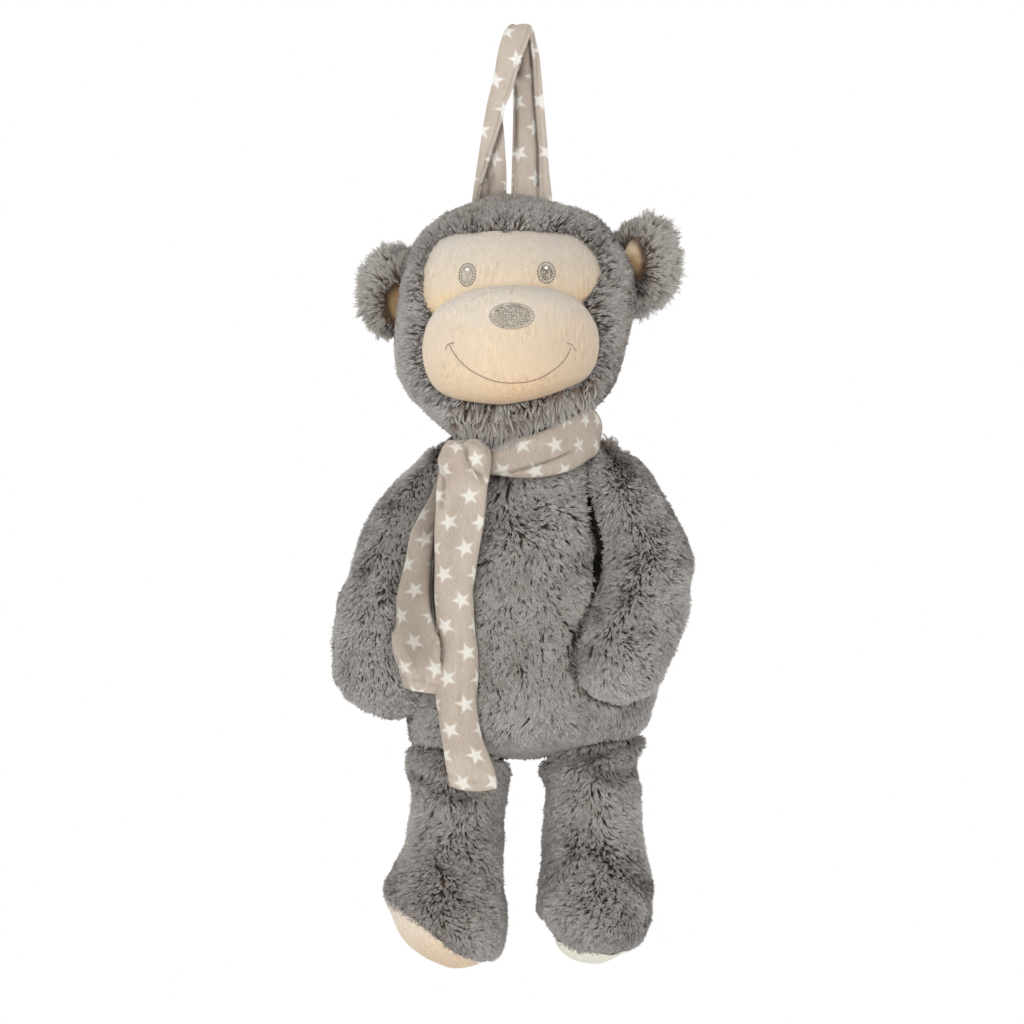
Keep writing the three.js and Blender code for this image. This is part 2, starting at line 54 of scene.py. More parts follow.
# stuffed forms by level: z, left, right, front, back
FORMS = {
    "head": [
        (-81.5, -5, -5, 2, 2), (-86, -27, 18, -14, 20), (-90.5, -38.5, 33, -22, 28), (-96.5, -47, 40.5, -29, 34),
        (-104.5, -54, 47.5, -36, 39), (-114.5, -58.5, 53, -41, 43), (-127, -62, 56, -45, 46), (-142, -64, 55, -47, 47),
        (-157, -65, 51.5, -47, 46), (-169.5, -64, 48, -46, 43), (-180.5, -59, 43, -43, 38), (-189.5, -51, 35, -39, 32),
        (-198.5, -41.5, 23, -34, 26), (-206, -31, 12, -25, 18), (-211, -9.5, -9.5, -3, -3),
    ],
    "torso_bag": [
        (-202.5, -2, -2, 0, 0), (-206.5, -26, 22, -20, 20), (-212.5, -36, 34, -28, 27), (-222, -40, 41, -33, 31),
        (-234.5, -42.5, 45, -35, 34), (-254.5, -48, 53, -39, 37), (-279.5, -54, 60.5, -43, 40), (-304.5, -57.5, 66, -46, 42),
        (-324.5, -58.5, 67.5, -47, 42), (-339.5, -59, 64.5, -45, 40), (-349.5, -58.5, 59.5, -40, 36), (-356, -55.5, 44, -32, 29),
        (-361, -42, 24, -20, 18), (-364.5, -6, -6, -1, -1),
    ],
    "arm_left": [
        (-206, -43, -43, 1, 1), (-210.5, -50, -37, -10, 12), (-216.5, -56, -36, -15, 16), (-222.5, -63, -36, -18, 18),
        (-234.5, -73.5, -37, -21, 20), (-246.5, -80.5, -38.5, -23, 20), (-258.5, -84.5, -40, -25, 19), (-270.5, -88, -42, -27, 17),
        (-282.5, -93, -44, -29, 16), (-294.5, -95, -45.5, -31, 14), (-306.5, -96, -46, -32, 13), (-318, -96, -45.5, -32, 12),
        (-330, -92, -45, -30, 10), (-337, -84.5, -48, -25, 5), (-342, -74.5, -56, -17, -3), (-344, -66, -66, -10, -10),
    ],
    "arm_right": [
        (-202.5, 41, 41, 0, 0), (-207.5, 33, 48, -12, 12), (-212.5, 29.5, 56, -19, 15), (-219.5, 26.5, 63, -25, 17),
        (-228.5, 26.5, 68.5, -30, 18), (-240.5, 30, 75.5, -33, 17), (-252.5, 34.5, 81.5, -36, 14), (-264.5, 37, 84.5, -42, 8),
        (-276, 36.5, 83, -46, 1), (-288, 30.5, 81.5, -51, -5), (-300, 26, 78.5, -55, -10), (-311.5, 23.5, 74, -57, -13),
        (-323.5, 25, 68.5, -55, -16), (-330.5, 31.5, 62.5, -49, -22), (-333.5, 39.5, 55, -43, -29), (-335.5, 47.5, 47.5, -36, -36),
    ],
    "leg_left": [
        (-348.5, -33, -33, 0, 0), (-352.5, -52, -12, -16, 18), (-358.5, -58, -7, -22, 22), (-366.5, -59.5, -6, -24, 24),
        (-378.5, -57.5, -7, -24, 24), (-390.5, -57.5, -9, -24, 24), (-402.5, -59.5, -9, -27, 24), (-414, -64.5, -10, -34, 23),
        (-425.5, -70, -9.5, -44, 22), (-433.5, -69.8, -8, -50, 21), (-441, -66.8, -7.5, -53, 19), (-449, -63.3, -8, -53, 15),
        (-456, -58, -9.5, -49, 8), (-461.5, -50.5, -13.5, -42, -3), (-465.5, -42, -23, -33, -14), (-467.5, -33.5, -33.5, -24, -24),
    ],
    "leg_right": [
        (-345.5, 35.5, 35.5, 0, 0), (-350.5, 16, 58, -16, 18), (-357.5, 8.5, 59.5, -22, 22), (-366.5, 7.5, 57.5, -24, 24),
        (-378.5, 9.5, 59, -24, 24), (-390.5, 9.5, 59.5, -24, 24), (-402.5, 8.5, 60.5, -27, 24), (-414, 8, 62.5, -34, 23),
        (-425.5, 6.5, 65, -43, 22), (-435.5, 5.5, 64.5, -49, 20), (-443, 9.5, 63.5, -52, 17), (-450, 13.5, 61, -51, 12),
        (-456, 15.5, 56, -46, 5), (-460.5, 19.5, 49, -38, -4), (-463.5, 24.5, 43, -30, -13), (-465.5, 35, 35, -21, -21),
    ],
}
FORMS = {k: np.array(v, float) for k, v in FORMS.items()}

# panels on the head's front: z, left, right
FACE = np.array([
    (-101.5, -8, -8), (-102.5, -34, 20), (-104, -40, 26), (-108, -45, 31.5), (-114, -48.5, 36), (-121.5, -50.5, 38.5),
    (-129, -51, 35.8), (-135, -50, 31.2), (-140, -47.5, 26.5), (-145, -41.5, 20), (-149, -10.5, -10.5)], float)
MUZZLE = np.array([
    (-129, -5.5, -5.5), (-130.5, -22.5, 13), (-133, -30.5, 21), (-136.5, -38, 27), (-142.5, -45, 32.5), (-150.5, -49, 36.5),
    (-159, -50.5, 37.2), (-166, -50, 36), (-171, -48.7, 33.5), (-175, -47, 30), (-178.5, -44.8, 23.5), (-182, -40.5, 15),
    (-184.7, -34, 6.5), (-186.5, -24, -3), (-187.5, -12, -12)], float)

EARS = {
    "ear_left": dict(at=(-63, 6, -130), half=(21.5, 11, 25), lean=4, yaw=-14, dish=(-0.5, -6), bare=(1.2, -7.6, 6.4, 10.8, 0.0)),
    "ear_right": dict(at=(58.5, 6, -115.5), half=(21, 11, 26), lean=-16, yaw=12, dish=(-4.0, 0.5), bare=(-5.6, -0.4, 6.4, 10.6, 0.30)),
}
DISH = dict(y=-13.5, half=(9.5, 8.5, 15.0))


def from_dish(x, z, e):
    """How far points of an ear lie from the middle of its bare place, 1 at the edge."""
    ex, ez, wide, high, slant = e["bare"]
    return np.sqrt(((x - ex + slant * (z - ez)) / wide) ** 2 + ((z - ez) / high) ** 2)


SOLES = {
    "leg_left": dict(at=(-52.6, -48, -442.2), facing=(-0.64, -0.14, -0.755), rise=[(-37, -18, 5.5)]),
    "leg_right": dict(at=(36, -45, -456), facing=(-0.12, -0.14, -0.98), rise=[(90, 89, -2.0), (28, 15, 4.5), (42, 52, 3.6)]),
}

# folds and gaps in the plush, drawn in picture places
# picture places, with a half width where a line's width changes
# ARMPIT is a gap that is dented and darkened with painted shadow; ARM_EDGE only carries painted shadow on the torso's
# pile under the arm's edge
ARMPIT = [(585.5, 462, 0.6), (587, 485, 1.1), (590, 503, 3.0), (596, 524, 4.4), (601, 545, 4.4), (600.5, 560, 3.6), (597, 577, 2.2), (589, 600, 1.2)]
ARM_EDGE = [(590, 598), (584, 613), (575, 633), (571, 650), (571.5, 668), (578, 685), (590, 696), (606, 702)]
LEG_FOLDS = {
    "leg_left": [[(418, 777), (432, 781), (448, 785), (468, 789)], [(446, 857), (462, 863), (483, 872)]],
    "leg_right": [[(545, 759), (575, 753), (600, 747), (625, 741)], [(600, 768), (618, 771), (642, 771)], [(554, 883), (569, 871), (588, 864)]],
}
# ruffled places of the pile: picture place, half sizes, how much; the pile there is also darkened with painted shade
# (dim)
RUFFLES = {
    "leg_left": [(422, 745, 20, 6, 0.6), (436, 781, 13, 6, 0.7), (466, 798, 22, 9, 1.0), (433, 832, 16, 12, 0.7), (430, 850, 18, 9, 0.7), (447, 897, 20, 17, 1.0), (467, 842, 3.5, 12, 0.7)],
    "leg_right": [(582, 762, 36, 8, 1.0), (588, 792, 5, 15, 0.7), (613, 817, 13, 18, 0.7), (606, 855, 16, 18, 0.9), (598, 892, 11, 11, 0.6), (597, 940, 9, 8, 0.6), (557, 877, 6, 5, 0.9)],
    "arm_right": [(609, 478, 20, 14, 0.8), (632, 496, 12, 10, 0.6), (648, 528, 20, 18, 0.7), (637, 559, 16, 16, 0.8), (623, 585, 18, 13, 0.9), (596, 615, 12, 12, 0.6), (639, 635, 16, 16, 0.7), (583, 679, 5, 5, 1.3)],
    "arm_left": [(414, 484, 16, 16, 0.7), (396, 540, 18, 16, 0.9), (387, 590, 16, 16, 0.8), (387, 624, 9, 10, 0.8), (381, 666, 12, 16, 0.9), (352, 606, 10, 8, 0.4)],
    "torso_bag": [(534, 510, 24, 17, 0.9), (492, 555, 9, 16, 0.5)],
    "head": [(523, 412, 15, 6, 0.9), (457, 428, 4, 7, 1.2), (560, 399, 14, 8, 0.5)],
}

# scarf: neck band, tails and knot
BAND = dict(x=-1.5, y=-3.0, wide=41.3, deep=37.0)
# tails by picture rows, top to hem: row, left edge, right edge, depth (mm), turn (degrees, right edge forward)
LONG_TAIL = np.array([
    (440, 449, 467, -44, 0), (446, 444, 474, -48, 0), (453, 439.5, 484, -50.5, 0), (461, 437.6, 488.5, -51.5, 0), (471, 439.5, 489.5, -51.5, 0),
    (480, 437.6, 488.5, -51, 0), (492, 436.2, 487, -50.5, 0), (510, 435.7, 485.5, -50, 0), (531, 434.3, 482.7, -49.5, 0), (555, 433.7, 478.7, -49, 2),
    (573, 434, 475, -48.5, 3), (590, 434.5, 470.8, -48.5, 4), (604, 435.5, 471.2, -48.5, 4), (630, 437.5, 474, -48.5, 2), (650, 439, 477.5, -48.5, 0),
    (677, 438, 477.5, -48.5, 0), (697, 436.5, 475.5, -48, 0), (714, 439, 477.5, -47.5, 0), (737, 441.5, 483, -46.5, -3), (753, 444, 489, -45.5, -4),
    (768, 446.3, 494.5, -44.5, -5), (779, 448.6, 497, -44, -6), (787, 450, 498, -43.5, -6)], float)
SHORT_TAIL = np.array([
    (466, 440, 456, -45, 0), (478, 438, 453, -46, 0), (488, 434.5, 451, -46, 0), (500, 429.5, 450, -45.5, 0), (517, 420.8, 447, -44.5, -3), (533, 413.6, 442, -43.5, -5),
    (550, 409.7, 437, -43, -6), (565, 406.5, 433.5, -42.5, -6), (590, 400.5, 431, -42.5, -3), (602, 397.5, 431, -43, 2), (613, 395, 432, -43.5, 9),
    (621, 393, 434.5, -44.5, 15), (630, 391, 438.6, -45.5, 19), (640, 389.3, 441.5, -46, 21), (650, 390.6, 442.6, -46, 21), (661, 393.2, 442, -45.5, 20),
    (676, 396.5, 440, -44.5, 17), (684, 398.5, 438.3, -44, 16), (690, 399.5, 437, -44, 15)], float)
BAND_ROWS = np.array([
    (0, -200, 11.3), (60, -197, 10.5), (90, -197, 10), (150, -209.5, 8), (180, -215, 6.2), (210, -217, 6), (235, -216.5, 6), (248, -216, 6),
    (262, -214.5, 9), (282, -212.5, 11.2), (308, -206.2, 13.6), (333, -201.7, 11.9), (360, -200, 11.3)], float)
KNOT_ROWS = np.array([      # picture row, left, right, front, back
    (438.5, 474, 474, -52, -52), (440.5, 466.5, 480.5, -55, -44), (444, 463, 485.5, -57, -40), (450, 461, 490, -58.5, -38), (457, 461, 491, -59, -38), (464, 463, 490.8, -58.5, -39),
    (470, 467, 490.2, -57.5, -42), (476, 473, 489.6, -56.5, -46), (481, 480, 488.8, -55, -50), (483.5, 485.5, 485.5, -52.5, -52.5)], float)
# hang loop by picture rows, from the left foot over the top to the right foot: row, left edge, right edge, depth (mm), turned-in width left and right (mm)
LOOP = np.array([
    (216, 471, 477, 9, 17, 0), (200, 473.5, 479, 6, 16.5, 0), (190, 475, 480.5, 3.5, 16, 0), (169, 478, 487, -1, 14.5, 0), (148, 481.2, 493.2, -4, 12.2, 0),
    (129, 484.2, 499, -6, 10, 0), (116, 486.5, 503, -7.2, 8, 0), (104, 488.6, 505.5, -8, 6.4, 0), (93.5, 491.2, 510.2, -8.4, 5, 0), (82, 494, 514.3, -8.6, 3.8, 0),
    (69, 496.6, 518, -8.4, 2.8, 0), (55, 498.9, 521.6, -7.8, 2, 0), (41, 502, 525.7, -6.4, 1.4, 0.4), (30.5, 507, 529.4, -3.2, 0.8, 0.8), (25.6, 513, 530.4, 2, 0.5, 1.2),
    (31, 511.5, 532.5, 7.5, 0.4, 2.0), (43, 513, 534.8, 10, 0.4, 2.6), (58, 514, 538.2, 11.5, 0.4, 3.2), (76, 514.8, 540, 12.5, 0.4, 3.6), (96, 515, 541.8, 13.2, 0.4, 4.2),
    (122, 514.7, 544.2, 13.6, 0.4, 4.4), (148, 514.1, 546.2, 13.8, 0.4, 4.2), (172, 513.5, 547.8, 13.6, 0.4, 4.6), (192, 513, 550, 13.2, 0.4, 5.6), (216, 512.5, 552, 12.5, 0.4, 6)], float)
STRAP = np.array([
    (20, 25, -222), (22, 40, -222), (26, 58, -235), (31, 71, -262), (36, 75, -292), (41, 66, -322), (44, 48, -341), (45, 28, -345)], float)


# ---------------------------------------------------------------- numbers
def pchip(xk, yk, x):
    """Monotone cubic through the rows of a table."""
    xk = np.asarray(xk, float)
    yk = np.asarray(yk, float)
    if xk[-1] < xk[0]:
        xk, yk = xk[::-1], yk[::-1]
    s = np.diff(yk) / np.diff(xk)
    t = np.empty_like(yk)
    t[0], t[-1] = s[0], s[-1]
    a, b = s[:-1], s[1:]
    same = a * b > 0
    t[1:-1] = np.where(same, 2 * a * b / np.where(same, a + b, 1), 0)
    i = np.clip(np.searchsorted(xk, x, side="right") - 1, 0, len(xk) - 2)
    h = xk[i + 1] - xk[i]
    u = np.clip((x - xk[i]) / h, 0, 1)
    u2, u3 = u * u, u * u * u
    return (2 * u3 - 3 * u2 + 1) * yk[i] + (u3 - 2 * u2 + u) * h * t[i] + (3 * u2 - 2 * u3) * yk[i + 1] + (u3 - u2) * h * t[i + 1]


def section(rows, z):
    cx = pchip(rows[:, 0], (rows[:, 1] + rows[:, 2]) / 2, z)
    cy = pchip(rows[:, 0], (rows[:, 3] + rows[:, 4]) / 2, z)
    hw = np.sqrt(np.maximum(0, pchip(rows[:, 0], ((rows[:, 2] - rows[:, 1]) / 2) ** 2, z)))
    hd = np.sqrt(np.maximum(0, pchip(rows[:, 0], ((rows[:, 4] - rows[:, 3]) / 2) ** 2, z)))
    return cx, cy, hw, hd


def outline(rows, z):
    mid = pchip(rows[:, 0], (rows[:, 1] + rows[:, 2]) / 2, z)
    half = np.sqrt(np.maximum(0, pchip(rows[:, 0], ((rows[:, 2] - rows[:, 1]) / 2) ** 2, z)))
    return mid, half


def front_of(rows, x, z):
    cx, cy, hw, hd = section(rows, z)
    u = np.minimum(0.985, np.abs(x - cx) / np.maximum(hw, 1e-6))
    return cy - hd * np.sqrt(1 - u * u)


def depth_in(rows, p):
    """About how deep points lie in a stuffed form, in millimetres; negative outside."""
    z = p[:, 2]
    cx, cy, hw, hd = section(rows, z)
    q = np.sqrt(((p[:, 0] - cx) / np.maximum(hw, 1e-3)) ** 2 + ((p[:, 1] - cy) / np.maximum(hd, 1e-3)) ** 2)
    d = (1 - q) * np.minimum(hw, hd)
    out = np.maximum(z - rows[:, 0].max(), rows[:, 0].min() - z)
    return np.where(out > 0, -out, d)


def in_outline(rows, x, z, margin=0.0):
    mid, half = outline(rows, z)
    ok = (z < rows[0, 0] + margin) & (z > rows[-1, 0] - margin)
    return ok & (np.abs(x - mid) < half + margin)


def hash3(i, j, k, seed):
    h = (i * 374761393 + j * 668265263 + k * 2147483647 + seed * 1274126177) & 0xFFFFFFFF
    h = ((h ^ (h >> 13)) * 1274126177) & 0xFFFFFFFF
    h = ((h ^ (h >> 16)) * 2246822519) & 0xFFFFFFFF
    return ((h ^ (h >> 15)) & 0xFFFFFF) / float(0xFFFFFF)


def noise3(p, size, seed=0):
    """Smooth value noise, -1 to 1, with cells of that size."""
    q = p / size
    i = np.floor(q).astype(np.int64)
    f = q - i
    f = f * f * (3 - 2 * f)
    out = 0
    for dx in (0, 1):
        for dy in (0, 1):
            for dz in (0, 1):
                w = (f[..., 0] if dx else 1 - f[..., 0]) * (f[..., 1] if dy else 1 - f[..., 1]) * (f[..., 2] if dz else 1 - f[..., 2])
                out = out + w * hash3(i[..., 0] + dx, i[..., 1] + dy, i[..., 2] + dz, seed)
    return out * 2 - 1


def face_point(px, py, y):
    """Picture place to x, z at a depth."""
    k = FRAME_WIDE / 1024 * (CAMERA_FAR + y) / CAMERA_FAR
    return AIM[0] + (px - 512) * k, AIM[1] - (py - 512) * k


def picture_place(p):
    """Where points show in the picture."""
    k = FRAME_WIDE / 1024 * (CAMERA_FAR + p[..., 1]) / CAMERA_FAR
    return np.stack([512 + (p[..., 0] - AIM[0]) / k, 512 - (p[..., 2] - AIM[1]) / k], -1)


def from_line(p, line):
    """Distance in picture steps from points to a drawn line, or in its half widths where it has them."""
    q = picture_place(p)
    best = np.full(q.shape[:-1], 1e9)
    for m, o in zip(line[:-1], line[1:]):
        a, b = np.array(m[:2], float), np.array(o[:2], float)
        t = np.clip(((q - a) @ (b - a)) / ((b - a) @ (b - a)), 0, 1)
        d = np.linalg.norm(q - a - t[..., None] * (b - a), axis=-1)
        best = np.minimum(best, d if len(m) < 3 else d / (m[2] + t * (o[2] - m[2])))
    return best


def in_patch(p, px, py, rx, ry):
    """How far points show inside a round patch of the picture, 1 in its middle."""
    q = picture_place(p)
    return np.exp(-((q[..., 0] - px) / rx) ** 2 - ((q[..., 1] - py) / ry) ** 2)


def unit(v):
    return v / np.maximum(np.linalg.norm(v, axis=-1, keepdims=True), 1e-9)


def smooth(a, b, x):
    t = np.clip((x - a) / (b - a), 0, 1)
    return t * t * (3 - 2 * t)


def catmull(k, y, t):
    m = np.gradient(y, k)
    i = np.clip(np.searchsorted(k, t, side="right") - 1, 0, len(k) - 2)
    h = k[i + 1] - k[i]
    u = (t - k[i]) / h
    u2, u3 = u * u, u * u * u
    return (2 * u3 - 3 * u2 + 1) * y[i] + (u3 - 2 * u2 + u) * h * m[i] + (3 * u2 - 2 * u3) * y[i + 1] + (u3 - u2) * h * m[i + 1]


# ---------------------------------------------------------------- meshes
def build(name, verts, faces, uv=None, uv_name="cloth", normals=None, smooth_shade=True, fold=None):
    """A mesh object from arrays; verts in millimetres, faces all tris or all quads or a list of both."""
    me = bpy.data.meshes.new(name)
    verts = np.asarray(verts, np.float32) * MM
    me.vertices.add(len(verts))
    me.vertices.foreach_set("co", verts.ravel())
    groups = faces if isinstance(faces, list) else [faces]
    loops = np.concatenate([np.asarray(g, np.int32).ravel() for g in groups])
    starts, at = [], 0
    for g in groups:
        n, k = g.shape
        starts.append(at + np.arange(n, dtype=np.int32) * k)
        at += n * k
    me.loops.add(len(loops))
    me.loops.foreach_set("vertex_index", loops)
    starts = np.concatenate(starts)
    me.polygons.add(len(starts))
    me.polygons.foreach_set("loop_start", starts)
    me.polygons.foreach_set("use_smooth", np.full(len(starts), smooth_shade))
    if uv is not None:
        layer = me.uv_layers.new(name=uv_name)
        layer.uv.foreach_set("vector", np.asarray(uv, np.float32)[loops].ravel())
    me.update(calc_edges=True)
    if normals is not None:
        a = me.attributes.new("custom_normal", "FLOAT_VECTOR", "POINT")
        a.data.foreach_set("vector", np.asarray(normals, np.float32).ravel())
        me.update()
    if fold is not None:
        a = me.attributes.new("fold", "FLOAT", "POINT")
        a.data.foreach_set("value", np.asarray(fold, np.float32).ravel())
    ob = bpy.data.objects.new(name, me)
    bpy.context.scene.collection.objects.link(ob)
    return ob


def grid_faces(rows, cols, wrap=True):
    i = np.arange(rows - 1)[:, None]
    j = np.arange(cols if wrap else cols - 1)[None, :]
    a = i * cols + j
    b = i * cols + (j + 1) % cols
    c = (i + 1) * cols + (j + 1) % cols
    d = (i + 1) * cols + j
    return np.stack([a, d, c, b], -1).reshape(-1, 4)


def grid_normals(g):
    du = np.roll(g, -1, 1) - np.roll(g, 1, 1)
    dv = np.empty_like(g)
    dv[1:-1] = g[2:] - g[:-2]
    dv[0] = g[1] - g[0]
    dv[-1] = g[-1] - g[-2]
    n = np.cross(dv, du)
    n = unit(n)
    n[0], n[-1] = (0, 0, 1), (0, 0, -1)
    return n


def form_grid(rows, sides, rings):
    """Rings of a stuffed form from its top pole to its bottom pole, with outward normals."""
    top, bottom = rows[0, 0], rows[-1, 0]
    th = np.linspace(0.0, math.pi, rings + 1)
    th[0], th[-1] = 0.02, math.pi - 0.02
    a = np.arange(sides) * 2 * math.pi / sides
    z = (top + bottom) / 2 + (top - bottom) / 2 * np.cos(th)
    cx, cy, hw, hd = section(rows, z)
    g = np.empty((rings + 1, sides, 3))
    g[..., 0] = cx[:, None] + hw[:, None] * np.cos(a)
    g[..., 1] = cy[:, None] + hd[:, None] * np.sin(a)
    g[..., 2] = z[:, None]
    n = grid_normals(g)
    mid = np.stack([cx, cy, z], -1)[:, None, :]
    flip = np.sum(n * (g - mid), -1) < 0
    flip[0] = flip[-1] = False
    n[flip] *= -1
    return g, n


def closed_grid(name, g, **kw):
    """A mesh of rings with its two ends capped."""
    r, c = g.shape[:2]
    v = g.reshape(-1, 3)
    caps = [np.arange(c)[None, :], (np.arange(c)[::-1] + (r - 1) * c)[None, :]]
    return build(name, v, [grid_faces(r, c)] + caps, **kw)


# ---------------------------------------------------------------- materials
def new_material(name):
    m = bpy.data.materials.new(name)
    m.use_nodes = True
    t = m.node_tree
    for n in list(t.nodes):
        t.nodes.remove(n)
    out = t.nodes.new("ShaderNodeOutputMaterial")
    b = t.nodes.new("ShaderNodeBsdfPrincipled")
    t.links.new(b.outputs[0], out.inputs[0])
    return m, t, b


def lin(*rgb):
    return tuple((c / 255 / 12.92 if c / 255 <= 0.04045 else ((c / 255 + 0.055) / 1.055) ** 2.4) for c in rgb) + (1.0,)


class Nodes:
    """Short hand for node trees."""

    def __init__(self, tree):
        self.t = tree

    def add(self, kind, **props):
        n = self.t.nodes.new(kind)
        for k, v in props.items():
            setattr(n, k, v)
        return n

    def set(self, node, key, value):
        if isinstance(value, bpy.types.NodeSocket):
            self.t.links.new(value, node.inputs[key])
        else:
            node.inputs[key].default_value = value

    def math(self, op, a, b=0.0, c=None, clamp=False):
        n = self.add("ShaderNodeMath", operation=op, use_clamp=clamp)
        self.set(n, 0, a)
        self.set(n, 1, b)
        if c is not None:
            self.set(n, 2, c)
        return n.outputs[0]

    def mix(self, fac, a, b, blend="MIX"):
        n = self.add("ShaderNodeMix", data_type="RGBA", blend_type=blend)
        self.set(n, "Factor", fac)
        self.set(n, 6, a)
        self.set(n, 7, b)
        return n.outputs[2]

    def ramp(self, fac, stops, interpolation="LINEAR"):
        n = self.add("ShaderNodeValToRGB")
        n.color_ramp.interpolation = interpolation
        e = n.color_ramp.elements
        while len(e) < len(stops):
            e.new(0.5)
        for el, (p, c) in zip(e, stops):
            el.position = p
            el.color = c if len(c) == 4 else (*c, 1)
        self.set(n, 0, fac)
        return n.outputs[0]

    def remap(self, v, a, b, c, d, smoothstep=False):
        n = self.add("ShaderNodeMapRange", interpolation_type="SMOOTHSTEP" if smoothstep else "LINEAR")
        for i, x in enumerate((v, a, b, c, d)):
            self.set(n, i, x)
        return n.outputs[0]

    def noise(self, vec, scale, detail=2.0, rough=0.5):
        n = self.add("ShaderNodeTexNoise")
        self.set(n, "Vector", vec)
        self.set(n, "Scale", scale)
        self.set(n, "Detail", detail)
        self.set(n, "Roughness", rough)
        return n.outputs[0]

    def mapping(self, vec, scale):
        n = self.add("ShaderNodeMapping")
        self.set(n, "Vector", vec)
        self.set(n, "Scale", scale)
        return n.outputs[0]

    def bump(self, height, strength, distance, normal=None):
        n = self.add("ShaderNodeBump")
        self.set(n, "Height", height)
        self.set(n, "Strength", strength)
        self.set(n, "Distance", distance)
        if normal is not None:
            self.set(n, "Normal", normal)
        return n.outputs[0]


def fur_material(name, root, mid, tip, thin=False):
    """Pile: colour runs along a strand (v), dark toward the root as painted shade deep in the pile, and varies from
    strand to strand (u), at random and with painted light and shade.
    """
    m, t, b = new_material(name)
    k = Nodes(t)
    uv = k.add("ShaderNodeUVMap", uv_map="OFBake")
    s = k.add("ShaderNodeSeparateXYZ")
    k.set(s, 0, uv.outputs[0])
    # painted shade: the dark root colour stands for the shade deep down in the pile
    along = k.ramp(s.outputs[1], [(0.0, root), (0.30, root), (0.66, mid), (0.97, tip)])
    # u carries random tone and the painted light and shade given by each pile's shade function
    shade = k.ramp(s.outputs[0], [(0.0, (0.05, 0.045, 0.04)), (0.09, (0.4, 0.37, 0.35)), (0.22, (0.76, 0.73, 0.70)), (0.5, (1, 1, 1)), (1.0, (1.24, 1.25, 1.26))])
    col = k.mix(1.0, along, shade, "MULTIPLY")
    k.set(b, "Base Color", col)
    k.set(b, "Roughness", k.remap(s.outputs[1], 0.0, 1.0, 0.95, 0.8))
    b.inputs["Specular IOR Level"].default_value = 0.12
    k.set(b, "Sheen Weight", k.remap(s.outputs[0], 0.0, 0.25, 0.0, 0.3, True))
    b.inputs["Sheen Roughness"].default_value = 0.5
    b.inputs["Sheen Tint"].default_value = lin(230, 226, 222)
    geo = k.add("ShaderNodeNewGeometry")
    if thin:
        # a thin part is lit on the side that shows
        k.set(b, "Normal", k.bump(k.noise(geo.outputs["Position"], 1800, 2, 0.5), 0.2, 0.0002))
        return m
    # a strand is lit as the coat is, whichever side of it shows
    turn = k.add("ShaderNodeVectorMath", operation="SCALE")
    k.set(turn, 0, geo.outputs["Normal"])
    k.set(turn, "Scale", k.remap(geo.outputs["Backfacing"], 0.0, 1.0, 1.0, -1.0))
    k.set(b, "Normal", turn.outputs[0])
    return m


def skin_material(name, col):
    m, t, b = new_material(name)
    k = Nodes(t)
    geo = k.add("ShaderNodeNewGeometry")
    pos = geo.outputs["Position"]
    n = k.noise(pos, 600, 3, 0.6)
    ground = k.mix(k.remap(n, 0.3, 0.7, 0, 1), col, tuple(c * 0.6 for c in col[:3]) + (1,))
    s = k.add("ShaderNodeSeparateXYZ")
    k.set(s, 0, pos)
    # painted shade: the backing is dark so that the gaps between locks show as shadow; on the outer sides, where the
    # pile lies flat, it is as pale as the pile
    faces = k.add("ShaderNodeSeparateXYZ")
    k.set(faces, 0, geo.outputs["Normal"])
    outward = k.math("MULTIPLY", k.math("SIGN", s.outputs[0], 0.0), faces.outputs[0])
    ground = k.mix(k.remap(outward, 0.72, 0.92, 0.0, 1.0, True), ground, lin(146, 137, 129))
    # no light gets down between the right arm and the body
    ax = k.math("DIVIDE", k.math("SUBTRACT", s.outputs[0], 0.0355), 0.0075)
    az = k.math("DIVIDE", k.math("ADD", s.outputs[2], 0.2515), 0.026)
    off = k.math("ADD", k.math("MULTIPLY", ax, ax), k.math("MULTIPLY", az, az))
    k.set(b, "Base Color", k.mix(k.remap(off, 0.6, 1.1, 1.0, 0.0, True), ground, (0.006, 0.005, 0.004, 1)))
    k.set(b, "Roughness", k.remap(n, 0.3, 0.7, 0.90, 0.99))
    b.inputs["Specular IOR Level"].default_value = 0.1
    k.set(b, "Normal", k.bump(n, 0.6, 0.0006))
    return m


# ---------------------------------------------------------------- pile
BUDGET = dict(strands=0)


def scatter(g, n, density, rng, keep):
    """Random points on rings, with normals, at a density per square millimetre."""
    r, c = g.shape[:2]
    q = grid_faces(r, c)
    P, N = g.reshape(-1, 3), n.reshape(-1, 3)
    tri = np.concatenate([q[:, [0, 1, 2]], q[:, [0, 2, 3]]])
    A = 0.5 * np.linalg.norm(np.cross(P[tri[:, 1]] - P[tri[:, 0]], P[tri[:, 2]] - P[tri[:, 0]]), axis=1)
    count = int(A.sum() * density)
    pick = rng.choice(len(tri), count, p=A / A.sum())
    u, v = rng.random(count), rng.random(count)
    over = u + v > 1
    u[over], v[over] = 1 - u[over], 1 - v[over]
    w = np.stack([1 - u - v, u, v], -1)[..., None]
    pts = (P[tri[pick]] * w).sum(1)
    nrm = unit((N[tri[pick]] * w).sum(1))
    ok = keep(pts, nrm)
    return pts[ok], nrm[ok]


def turn_about(t, n, angle):
    b = np.cross(n, t)
    return t * np.cos(angle)[:, None] + b * np.sin(angle)[:, None]


